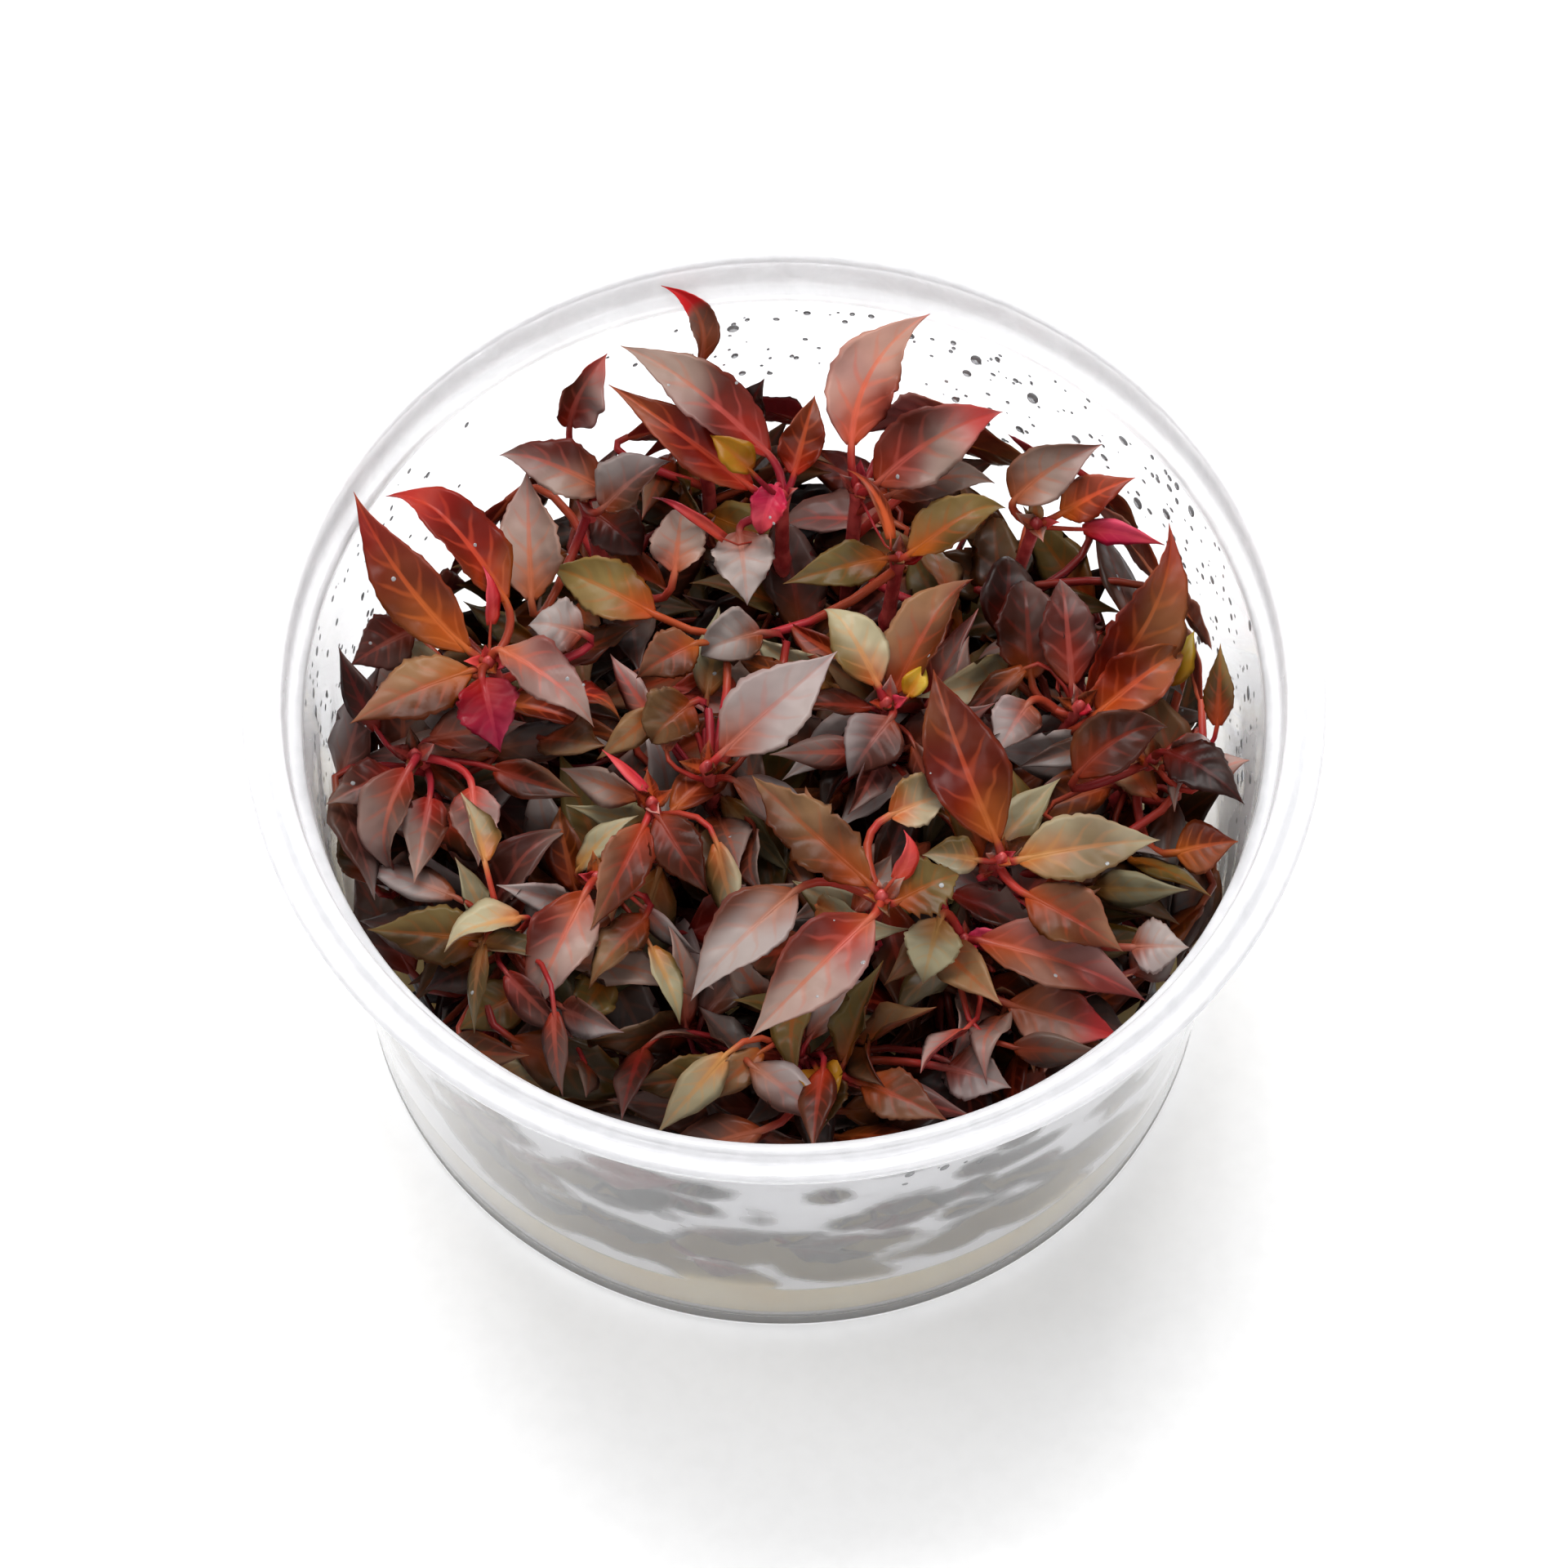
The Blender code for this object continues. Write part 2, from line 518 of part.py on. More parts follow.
def small_leaf_choices(plantlet, level, side, chance):
    """Places that one small leaf of a lower pair can take around its stem."""
    _, top = stem_ends(plantlet)
    height = top.z - level * NODE_SPACING + chance.uniform(-1.0, 1.0)
    length = chance.uniform(9.0, 14.0)
    width = length * chance.uniform(0.16, 0.21)
    start = math.pi * side + math.pi / 2 * (level % 2) + chance.uniform(-0.4, 0.4)
    roll = chance.uniform(-25.0, 25.0)
    middle = stem_point(plantlet, height)
    for pitch in (0.35, 0.7, 0.05, 1.05):
        for turn in (0.0, 0.35, -0.35, 0.7, -0.7, 1.05, -1.05):
            angle = start + turn
            out = Vector((math.cos(angle), math.sin(angle), 0.0))
            way = out * math.cos(pitch) + Vector((0.0, 0.0, math.sin(pitch)))
            neck = middle + way * (0.2 * length)
            tip = middle + way * (1.2 * length)
            yield Leaf(middle, neck, tip, width, roll, SMALL_LEAF_ARCH, 0.0)


def nearest_stems(place):
    """The three plantlets whose stems pass nearest to a place."""
    def distance(plantlet):
        height = min(place.z, PLANTLETS[plantlet][1] - 1.0)
        return (stem_point(plantlet, height) - place).length
    return sorted(PLANTLETS, key=distance)[:3]


def roll_towards(neck, tip, facing):
    """Roll in degrees that turns a leaf's upper face to a direction."""
    along = (tip - neck).normalized()
    up = (LEAF_FACE - along * LEAF_FACE.dot(along)).normalized()
    aim = (facing - along * facing.dot(along)).normalized()
    return math.degrees(math.atan2(along.dot(up.cross(aim)), up.dot(aim)))


def wall_leaf(plantlet, place):
    """Leaf of a plantlet in a place against the wall, bent round as the wall is."""
    height = min(place.neck.z - 2.0, PLANTLETS[plantlet][1] - 1.0)
    root = stem_point(plantlet, max(height, GEL_TOP + 1.0))
    roll = roll_towards(place.neck, place.tip, place.facing)
    return Leaf(root, place.neck, place.tip, place.half_width, roll, WALL_LEAF_ARCH, 0.0)


def wall_point(pixel, inset):
    """Point a little inside the front wall on the photograph's line of sight through a pixel."""
    low, high = FLOOR_HEIGHT, LEDGE_HEIGHT
    for _ in range(30):
        middle = (low + high) / 2
        place = sight_point(pixel, middle)
        if math.hypot(place.x, place.y) > inner_radius(middle) - inset:
            high = middle
        else:
            low = middle
    return sight_point(pixel, low)


def seen_wall_places(tip_pixel, neck_pixel, half_width):
    """Places, from the wall inwards, for a leaf seen through the front wall."""
    for inset in WALL_INSETS:
        tip = wall_point(tip_pixel, inset)
        neck = wall_point(neck_pixel, inset)
        out = (tip + neck) / 2
        out.z = 0.0
        yield Place(neck, tip, half_width, out.normalized())


def other_wall_places(number, chance):
    """Places for one of the leaves that lie against the wall all round the cup."""
    angle = number * GOLDEN_ANGLE
    low, high = WALL_LEAF_HEIGHTS
    height = low + (high - low) * (number * GOLDEN_SHARE % 1.0)
    length = chance.uniform(*WALL_LEAF_LENGTHS)
    slope = chance.uniform(-WALL_LEAF_SLOPE, WALL_LEAF_SLOPE)
    bulge = length ** 2 / 8 / WALL_TOP_RADIUS
    for turn in WALL_TURNS:
        out = Vector((math.cos(angle + turn), math.sin(angle + turn), 0.0))
        around = Vector((-out.y, out.x, 0.0)) * (1 if number % 2 else -1)
        way = around * math.cos(slope) + Vector((0.0, 0.0, math.sin(slope)))
        half = way * (length / 2)
        for inset in WALL_INSETS:
            centre = out * (inner_radius(height) - inset - bulge) + Vector((0.0, 0.0, height))
            yield Place(centre - half, centre + half, length * WALL_LEAF_WIDTH, out)


def join(thing, shape):
    """Unite a shape with an object, so that the two are one closed body."""
    partner = add_object("partner", shape, "stem")
    union = thing.modifiers.new("union", "BOOLEAN")
    union.operation = "UNION"
    union.object = partner
    view = bpy.context.evaluated_depsgraph_get()
    mesh = bpy.data.meshes.new_from_object(thing.evaluated_get(view))
    thing.modifiers.clear()
    thing.data = mesh
    bpy.data.objects.remove(partner, do_unlink=True)


def add_cup():
    """The cup, in one turned piece with its foot, ledge and flange."""
    add_object("cup", turned(cup_profile(), CUP_SEGMENTS), "cup", smooth_angle=35)


def add_gel():
    """The disc of gel, with a socket around each stem."""
    gel = add_object("culture_gel", turned(gel_profile(), GEL_SEGMENTS), "gel", smooth_angle=35)
    for plantlet in PLANTLETS:
        root, _ = stem_ends(plantlet)
        verts = []
        for height in (root.z - GAP, GEL_TOP + 1.0):
            middle = stem_point(plantlet, max(height, root.z))
            for side in range(STEM_SIDES):
                angle = 2 * math.pi * side / STEM_SIDES
                reach = STEM_BASE_RADIUS + 1.5 * GAP
                place = middle + Vector((reach * math.cos(angle), reach * math.sin(angle), 0.0))
                verts.append(Vector((place.x, place.y, height)))
        around = range(STEM_SIDES)
        faces = [tuple(reversed(around)), tuple(side + STEM_SIDES for side in around)]
        for side in around:
            after = (side + 1) % STEM_SIDES
            faces.append((side, after, after + STEM_SIDES, side + STEM_SIDES))
        socket = add_object("socket_" + plantlet, Shape(verts, faces), "gel")
        socket.hide_render = True
        socket.display_type = "WIRE"
        cut = gel.modifiers.new("socket_" + plantlet, "BOOLEAN")
        cut.operation = "DIFFERENCE"
        cut.object = socket


def first_clear(leaves, detail, obstacles):
    """Shape of the first leaf that is clear of the obstacles, or None."""
    for leaf in leaves:
        shape = leaf_shape(leaf, detail)
        if is_clear(shape, obstacles):
            return shape
    return None


def add_top_leaves(placed):
    """The leaves that show best, each in the first place that is clear of the others."""
    counts = {}
    for sighting in TOP_LEAVES:
        counts[sighting.plantlet] = counts.get(sighting.plantlet, 0) + 1
        name = "leaf_%s_%d" % (sighting.plantlet, counts[sighting.plantlet])
        choices = sighting_choices(sighting, STALK_CLEARANCE)
        shape = first_clear(choices, FULL_LEAF, placed.values())
        if shape is None:
            raise ValueError("no clear place for " + name)
        placed[name] = tree_of(shape)
        add_object(name, shape, sighting.colour, smooth_angle=50)


def fuse_leaf(plantlet, stems, placed, leaves, name):
    """Unite the first clear leaf with its stem, and say whether there was one."""
    others = [tree for other, tree in placed.items() if other != "stem_" + plantlet]
    shape = first_clear(leaves, SMALL_LEAF, others)
    if shape is None:
        return False
    join(stems[plantlet], shape)
    placed[name] = tree_of(shape)
    return True


def add_tucked_leaves(stems, placed):
    """The half hidden leaves, fused to their stems."""
    for number, sighting in enumerate(TUCKED_LEAVES):
        choices = sighting_choices(sighting, -STEM_TIP_RADIUS)
        fuse_leaf(sighting.plantlet, stems, placed, choices, "tucked_%d" % number)


def fuse_wall_leaf(stems, placed, places, name):
    """Unite a leaf with the nearest stem from which it reaches one of its places."""
    for plantlet in nearest_stems(places[0].neck):
        leaves = [wall_leaf(plantlet, place) for place in places]
        if fuse_leaf(plantlet, stems, placed, leaves, name):
            return


def add_wall_leaves(stems, placed):
    """The leaves that touch the wall, fused to stems near them."""
    for number, seen in enumerate(WALL_LEAVES):
        fuse_wall_leaf(stems, placed, list(seen_wall_places(*seen)), "seen_%d" % number)
    chance = random.Random(SEED + 1)
    for number in range(WALL_LEAF_COUNT):
        fuse_wall_leaf(stems, placed, list(other_wall_places(number, chance)), "wall_%d" % number)


def add_small_leaves(stems, placed):
    """The lower leaves in opposite pairs, fused to their stems, where there is room for them."""
    chance = random.Random(SEED)
    for plantlet in stems:
        height = PLANTLETS[plantlet][1] - GEL_TOP
        for level in range(1, int(height / NODE_SPACING) + 1):
            for side in (0, 1):
                choices = list(small_leaf_choices(plantlet, level, side, chance))
                fuse_leaf(plantlet, stems, placed, choices, "small_%s_%d_%d" % (plantlet, level, side))


def build():
    """Make the whole model."""
    clear_scene()
    add_cup()
    add_gel()
    placed = {}
    stems = {}
    for plantlet in PLANTLETS:
        shape = stem_shape(plantlet)
        placed["stem_" + plantlet] = tree_of(shape)
        stems[plantlet] = add_object("stem_" + plantlet, shape, "stem", smooth_angle=50)
    add_top_leaves(placed)
    add_tucked_leaves(stems, placed)
    add_wall_leaves(stems, placed)
    add_small_leaves(stems, placed)


build()
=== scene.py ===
"""Look of a clear round culture cup packed with small red-leaved aquarium plantlets in a nutrient gel.

The model stands on z = 0 with the cup's axis on the Z axis. Lengths are in millimetres until a mesh is made.
Stems and leaves are planned as in the solids, so that a finer leaf takes the place of each solid one.
More leaves, young shoots and drops of water then fill the cup.
"""

import math
import random
from collections import namedtuple

import bpy
import numpy as np
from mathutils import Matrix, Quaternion, Vector
from mathutils.bvhtree import BVHTree


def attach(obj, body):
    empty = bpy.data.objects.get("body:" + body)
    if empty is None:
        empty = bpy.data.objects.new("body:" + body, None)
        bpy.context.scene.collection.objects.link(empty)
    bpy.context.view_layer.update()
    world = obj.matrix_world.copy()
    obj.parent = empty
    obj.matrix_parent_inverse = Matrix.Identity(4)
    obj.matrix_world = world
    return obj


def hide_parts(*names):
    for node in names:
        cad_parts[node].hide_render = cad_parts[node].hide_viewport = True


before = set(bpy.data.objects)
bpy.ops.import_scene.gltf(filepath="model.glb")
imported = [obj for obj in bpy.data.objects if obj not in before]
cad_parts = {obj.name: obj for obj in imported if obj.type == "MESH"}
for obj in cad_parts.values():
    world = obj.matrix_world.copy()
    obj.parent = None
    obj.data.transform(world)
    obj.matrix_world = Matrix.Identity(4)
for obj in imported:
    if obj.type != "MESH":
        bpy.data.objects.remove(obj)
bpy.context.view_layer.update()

MM = 0.001
GAP = 0.3
STALK_CLEARANCE = 1.0

# Cup
CUP_HEIGHT = 60.5
FLANGE_RADIUS = 55.0
FLANGE_THICKNESS = 1.3
CREST_RADIUS = 51.9
GROOVE_RADIUS = 53.2
BAND_RADIUS = 50.5
LEDGE_HEIGHT = 55.0
WALL_TOP_RADIUS = 49.1
WALL_THICKNESS = 0.7
BASE_RADIUS = 45.0
FOOT_OUTER_RADIUS = 44.6
FOOT_INNER_RADIUS = 38.0
FOOT_RECESS = 0.7
FLOOR_HEIGHT = 1.6

# Culture gel
GEL_TOP = 12.0
SOCKET_DEPTH = 4.0

# Stems
STEM_BASE_RADIUS = 1.0
STEM_TIP_RADIUS = 0.75
STEM_SIDES = 6
STEM_STEPS = 4
ROOT_SPREAD = 0.8
BUD_HEIGHT = 1.2
NODE_SPACING = 20.0
SEED = 11

# Leaves
STALK_HALF_WIDTH = 0.5
BLADE_THICKNESS = 0.75
LEAF_FOLD = 14.0
LEAF_FACE = Vector((0.0, -0.25, 1.0))
TAIL_SHARE = 0.4
SIGHTED_TOP_MARGIN = 0.3
STEM_TOP_MARGIN = 1.0
NEAREST_STEMS = 3
SLIDES = (0.0, 0.7, -0.7, 1.4, -1.4, 2.1, -2.1, 2.8, -2.8, 3.5, -3.5, 4.5, -4.5, 6.0, -6.0)
DROPS = (0.8, 2.0, 3.2, 4.4, 6.0, 8.0, 11.0)

# Small leaves of the lower pairs: sizes in millimetres, width and start as shares of the length, and angles
# in radians, but the roll in degrees
PAIR_JITTER = 1.0
PAIR_LENGTHS = (9.0, 14.0)
PAIR_WIDTHS = (0.16, 0.21)
PAIR_SWING = 0.4
PAIR_ROLL = 25.0
PAIR_ARCH = 0.08
PAIR_START = 0.2
PAIR_PITCHES = (0.35, 0.7, 0.05, 1.05)
PAIR_TURNS = (0.0, 0.35, -0.35, 0.7, -0.7, 1.05, -1.05)

# Leaves against the wall: their number besides those seen, and where they may lie
WALL_LEAF_COUNT = 32
WALL_LEAF_HEIGHTS = (17.0, 45.0)
WALL_LEAF_LENGTHS = (10.0, 14.0)
WALL_LEAF_WIDTH = 0.24
WALL_LEAF_ARCH = 0.035
WALL_LEAF_SLOPE = 0.8
WALL_TURNS = (0.0, 0.15, -0.15, 0.3, -0.3)
WALL_INSETS = (0.95, 1.3, 2.0, 3.0, 4.5)
WALL_HALVINGS = 30
ROOT_DROP = 2.0
GOLDEN_ANGLE = 2.39996
GOLDEN_SHARE = 0.618

# Line of sight of the photograph
VIEW_ELEVATION = math.radians(62.31)
VIEW_DISTANCE = 622.8
VIEW_TARGET = Vector((0.0, 0.0, 37.8))
VIEW_FOCAL_PIXELS = 7299.6
VIEW_CENTRE = (959.5, 960.0)

# Plantlets: the pixel and height of the point where each one's top leaves meet
PLANTLETS = {
    "left": ((598, 812), 51.0),
    "back_left": ((712, 606), 49.0),
    "back": ((957, 608), 50.0),
    "back_right": ((1050, 600), 49.0),
    "inner_back": ((1100, 684), 47.0),
    "right_back": ((1268, 642), 49.0),
    "right": ((1322, 866), 46.0),
    "middle_right": ((1086, 862), 48.0),
    "middle": ((866, 940), 49.0),
    "middle_left": ((797, 984), 51.0),
    "right_front": ((1226, 1052), 51.0),
    "front": ((1079, 1098), 53.0),
    "front_left": ((730, 1076), 46.0),
    "left_front": ((614, 1154), 44.0),
    "far_left": ((508, 925), 47.0),
    "far_right": ((1412, 930), 47.0),
    "front_right": ((1180, 1152), 46.0),
    "low_front": ((985, 1300), 43.0),
    "wall_back": ((853, 470), 49.0),
}

# A leaf seen in the photograph: plantlet, tip pixel and height, blade base pixel and height, half width,
# kind, arch as a share of the length, roll in degrees, and sideways bend as a share of the length
Sighting = namedtuple("Sighting", "plantlet tip tip_z neck neck_z half_width kind arch roll bend",
                      defaults=(0.10, 0, 0.0))

# Leaves that show best, each a piece of its own
TOP_LEAVES = [Sighting(*row) for row in (
    ("left", (432, 601), 59.0, (572, 795), 52.0, 3.3, "ember", 0.05, -12, -0.05),
    ("left", (475, 575), 59.0, (618, 735), 52.5, 3.3, "ember", 0.12, 20),
    ("left", (427, 886), 51.0, (575, 822), 51.5, 3.3, "bronze", 0.08, 5),
    ("left", (735, 885), 52.0, (614, 797), 53.0, 2.9, "mauve", 0.10, -15),
    ("back_left", (603, 544), 54.5, (742, 600), 51.0, 2.9, "mauve"),
    ("back_left", (748, 433), 58.0, (697, 520), 52.5, 2.2, "mauve", 0.12, 35, -0.15),
    ("back_left", (821, 556), 54.0, (738, 622), 50.5, 2.8, "grey", 0.08, -10),
    ("back", (757, 412), 59.0, (940, 556), 53.0, 3.3, "mauve", 0.08, 10),
    ("back", (743, 470), 56.5, (918, 596), 51.5, 2.6, "ember", 0.08, -5),
    ("back", (998, 478), 57.0, (972, 580), 52.0, 2.2, "ember", 0.05),
    ("back_right", (1141, 382), 59.5, (1042, 545), 53.0, 3.7, "rose", 0.05, 0, -0.13),
    ("back_right", (1237, 497), 58.0, (1074, 592), 52.0, 3.8, "mauve", 0.12, 12, -0.06),
    ("back_right", (1224, 583), 52.5, (1090, 606), 50.0, 2.3, "mauve", 0.08, 0, -0.05),
    ("inner_back", (1235, 600), 52.5, (1114, 678), 48.5, 2.6, "olive", 0.06, -10),
    ("inner_back", (958, 715), 49.5, (1084, 684), 48.5, 2.3, "olive", 0.08),
    ("right_back", (1350, 544), 56.0, (1242, 612), 51.0, 2.9, "mauve", 0.10, 10, -0.06),
    ("right_back", (1389, 583), 55.5, (1300, 628), 50.5, 2.3, "ember", 0.06),
    ("right", (1441, 635), 56.5, (1332, 850), 48.5, 3.9, "ember", 0.08, 22, 0.08),
    ("middle_right", (1190, 690), 54.0, (1094, 848), 49.5, 3.0, "bronze", 0.08, -15),
    ("middle_right", (1010, 727), 53.0, (1074, 838), 49.5, 2.9, "pale", 0.06, 12),
    ("middle", (1028, 797), 54.5, (884, 922), 50.5, 4.0, "grey", 0.07),
    ("middle_left", (868, 1098), 50.5, (806, 1000), 52.0, 2.6, "bronze", 0.08, 10),
    ("middle_left", (722, 1140), 49.0, (788, 1012), 52.0, 2.5, "bronze", 0.08, -8),
    ("right_front", (1141, 813), 56.5, (1220, 1030), 52.5, 4.1, "ember", 0.06, 0, -0.03),
    ("right_front", (1424, 1026), 53.0, (1248, 1053), 52.0, 3.4, "pale", 0.08),
    ("front", (915, 1275), 50.0, (1066, 1124), 53.5, 3.9, "mauve", 0.08),
    ("front", (914, 945), 54.5, (1064, 1082), 54.0, 3.1, "bronze", 0.08, -12),
    ("front", (839, 1225), 49.5, (972, 1092), 52.0, 3.6, "grey", 0.08, 8),
    ("front", (1180, 1066), 54.0, (1098, 1104), 53.5, 3.0, "olive"),
    ("front_left", (644, 1249), 45.0, (716, 1094), 48.5, 3.3, "mauve", 0.08),
    ("left_front", (449, 1138), 46.5, (598, 1152), 46.0, 3.0, "olive", 0.08, -8),
    ("far_left", (471, 1082), 46.0, (499, 944), 49.5, 2.6, "mauve", 0.10, 15, 0.06),
    ("far_right", (1524, 985), 50.5, (1428, 922), 49.0, 3.0, "dark", 0.14, -15),
    ("front_right", (1412, 1222), 46.0, (1200, 1152), 47.0, 3.4, "rose", 0.08, -10),
    ("front_right", (1375, 1270), 44.0, (1236, 1230), 44.5, 3.2, "rose", 0.06, 10),
    ("low_front", (1160, 1372), 47.0, (1056, 1326), 45.5, 2.6, "bronze", 0.08),
    ("low_front", (1004, 1388), 45.5, (1006, 1318), 45.5, 2.6, "olive", 0.08),
    ("low_front", (764, 1332), 43.5, (900, 1318), 43.5, 2.4, "olive", 0.08),
    ("wall_back", (812, 348), 59.8, (856, 440), 53.0, 1.5, "rose", 0.04, 10, 0.2),
)]

# Leaves half hidden among the others, fused to their stems
TUCKED_LEAVES = [Sighting(*row) for row in (
    ("back_left", (645, 572), 52.0, (650, 735), 47.0, 3.4, "mauve", 0.05),
    ("back_left", (792, 682), 46.0, (728, 628), 48.0, 3.0, "dark"),
    ("back_left", (835, 612), 49.5, (826, 700), 46.5, 2.8, "mauve", 0.06),
    ("wall_back", (936, 462), 55.0, (905, 530), 50.0, 2.4, "dark"),
    ("back", (926, 660), 49.0, (950, 596), 51.5, 1.8, "magenta", 0.08),
    ("left", (612, 922), 49.0, (590, 832), 52.0, 3.2, "magenta"),
    ("left", (428, 815), 48.0, (505, 772), 50.0, 3.0, "mauve"),
    ("left", (642, 760), 50.0, (712, 775), 48.5, 2.8, "grey"),
    ("inner_back", (668, 690), 46.0, (800, 752), 46.0, 3.2, "olive"),
    ("back", (915, 742), 46.0, (905, 652), 48.0, 3.2, "grey"),
    ("middle", (775, 830), 47.5, (852, 788), 48.0, 2.6, "bronze", 0.12),
    ("middle", (850, 800), 47.0, (930, 775), 47.0, 2.8, "grey"),
    ("middle", (790, 912), 47.0, (845, 862), 48.5, 3.0, "bronze"),
    ("middle_right", (1035, 955), 47.5, (1090, 880), 49.0, 3.2, "grey"),
    ("right", (1252, 690), 50.0, (1262, 830), 45.0, 3.4, "dark", 0.08),
    ("right", (1298, 690), 50.0, (1312, 838), 46.0, 2.9, "mauve", 0.08),
    ("right", (1462, 782), 50.0, (1345, 872), 46.5, 3.0, "ember", 0.08),
    ("right", (1218, 925), 46.0, (1258, 862), 46.0, 2.6, "grey", 0.08),
    ("far_right", (1437, 880), 52.0, (1318, 950), 49.0, 3.2, "bronze", 0.10, 0, -0.08),
    ("far_right", (1494, 788), 54.0, (1490, 888), 49.0, 1.5, "olive", 0.06),
    ("far_right", (1516, 1030), 47.0, (1440, 1044), 45.0, 2.8, "ember"),
    ("far_left", (398, 985), 49.0, (482, 948), 48.0, 2.5, "mauve"),
    ("far_left", (412, 1002), 45.0, (452, 1078), 42.0, 2.0, "olive", 0.05),
    ("far_left", (586, 1062), 46.0, (578, 965), 47.5, 2.5, "mauve"),
    ("front_right", (1128, 1208), 47.5, (1150, 1126), 50.0, 2.8, "pale"),
    ("right_front", (1376, 1166), 47.5, (1258, 1096), 49.5, 3.2, "bronze"),
    ("right_front", (1456, 1160), 47.0, (1385, 1160), 46.0, 2.8, "grey"),
    ("low_front", (1238, 1332), 45.0, (1160, 1308), 44.0, 2.8, "grey"),
    ("front", (1164, 972), 52.0, (1090, 998), 53.0, 2.6, "pale"),
    ("left_front", (560, 1262), 42.0, (640, 1215), 43.0, 2.8, "olive"),
)]

# Leaves seen through the front wall, which they touch: tip pixel, blade base pixel and half width
WALL_LEAVES = (
    ((841, 1442), (706, 1412), 3.4),
    ((826, 1490), (690, 1446), 2.8),
    ((838, 1510), (743, 1492), 2.2),
    ((994, 1486), (846, 1498), 3.8),
    ((930, 1552), (852, 1534), 2.2),
    ((657, 1446), (575, 1366), 1.8),
    ((722, 1484), (647, 1444), 2.0),
    ((1073, 1530), (968, 1518), 2.0),
    ((1146, 1449), (1066, 1472), 2.0),
    ((1302, 1424), (1206, 1458), 2.4),
    ((1381, 1347), (1286, 1408), 2.2),
    ((1212, 1464), (1130, 1500), 2.0),
)

# Shares of the leaf stalk and of the blade where a leaf has its sections
Detail = namedtuple("Detail", "stalk blade")
FULL_LEAF = Detail((0.0, 0.5), (0.0, 0.18, 0.38, 0.6, 0.82, 1.0))
SMALL_LEAF = Detail((0.0,), (0.0, 0.32, 0.66, 1.0))

# A leaf runs from its root on the stem through the neck of its blade to its tip
Leaf = namedtuple("Leaf", "root neck tip half_width roll arch bend")

# Where a blade lies: its base and tip, its half width, and the direction that its upper face looks in
Place = namedtuple("Place", "neck tip half_width facing")

# A closed surface as corner points and faces
Shape = namedtuple("Shape", "verts faces")

# A leaf that grows from a stem: its kind, and whether it is shown finely
Grown = namedtuple("Grown", "leaf kind fine")

# Kinds of the leaves seen through the front wall, in their order; most are darkened as painted shade
SEEN_WALL_KINDS = ("magenta", "dark", "dark", "bronze", "rose", "dark",
                   "dark", "dark", "bronze", "dark", "bronze", "dark")

# Small things seen among the leaves: shoots, bare stalks, yellow leaves and curled ones
MORE_LEAVES = [Sighting(*row) for row in (
    ("back", (868, 530), 57.5, (918, 576), 55.0, 1.7, "yellow"),
    ("back", (792, 596), 52.0, (886, 660), 49.0, 0.5, "magenta", 0.04),
    ("back_right", (1034, 566), 53.0, (1090, 660), 50.5, 0.6, "ember", 0.04, 0, 0.1),
    ("left", (598, 690), 57.0, (600, 764), 52.5, 0.8, "magenta", 0.05, 30),
    ("front", (1114, 1014), 57.5, (1094, 1076), 54.5, 1.1, "magenta", 0.05, 30, 0.1),
    ("middle_left", (735, 915), 52.5, (790, 968), 52.0, 0.5, "magenta", 0.04),
    ("middle_right", (1134, 812), 49.0, (1112, 852), 48.0, 1.2, "yellow"),
    ("right_back", (1426, 668), 51.0, (1326, 648), 49.5, 1.4, "magenta", 0.12, 40, -0.1),
    ("right", (1236, 662), 47.0, (1232, 780), 44.0, 2.9, "dark", 0.08),
    ("right", (1462, 772), 48.0, (1430, 838), 46.0, 1.7, "yellow"),
    ("far_right", (1480, 896), 50.5, (1440, 936), 49.0, 2.2, "grey", 0.15, 20),
    ("far_right", (1530, 930), 50.0, (1470, 962), 48.0, 2.0, "mauve", 0.15, -25),
    ("right_front", (1128, 1046), 52.5, (1196, 1053), 52.0, 2.0, "pale", 0.08),
    ("right_front", (1446, 1150), 46.0, (1386, 1190), 45.0, 2.6, "grey"),
    ("low_front", (1216, 1338), 43.0, (1160, 1300), 42.5, 2.4, "grey"),
    ("low_front", (1014, 1360), 45.0, (1000, 1310), 44.0, 2.2, "yellow"),
    ("wall_back", (813, 346), 59.0, (850, 366), 58.0, 1.7, "magenta", 0.12, -30),
    ("front_left", (700, 1262), 43.0, (742, 1200), 43.0, 2.4, "olive"),
    ("left_front", (520, 1212), 43.0, (590, 1180), 43.0, 2.4, "dark"),
)]

# Detail of the visible leaves: rows and columns of a blade, knots and sides of a stalk
FINE_LEAF = (36, 15)
COARSE_LEAF = (13, 7)
FINE_STALK = (6, 8)
COARSE_STALK = (4, 5)

# Blade: thickness, outline, teeth of its margin, share of it that carries the midrib, hooked tip and twist
MIDDLE_THICKNESS = 0.36
MARGIN_THICKNESS = 0.14
TIP_HALF_WIDTH = 0.03
OUTLINE_LEAN = 0.72
OUTLINE_POINT = 1.4
MARGIN_CROWDING = 1.15
TEETH = (3.7, 8.3, 13.1)
MIDRIB_END = 0.9
HOOK_START = 0.55
HOOK_LENGTH = 0.45
HOOK_PULL = 0.35
TWIST_CENTRE = 0.3

# Side veins: their number, how far they lean forward, and the puffed areas and the groove between them
VEIN_PAIRS = 5.5
VEIN_SWEEP = 0.27
VEIN_CURVE = 1.25
VEIN_CLOSING = 0.35
PUFF = 0.085
PUFF_START = 0.5
GROOVE = 0.12
GROOVE_REACH = 0.35
WIDE_LEAF = 3.0

# Waves of a margin, uneven halves and drooping tip
HALF_FOLDS = (0.7, 1.2)
WAVES = (1.6, 3.2)
WAVE_SWING = (0.08, 0.34)
CALM_FOLD = 0.3
DROOPS = (-0.12, 0.16)

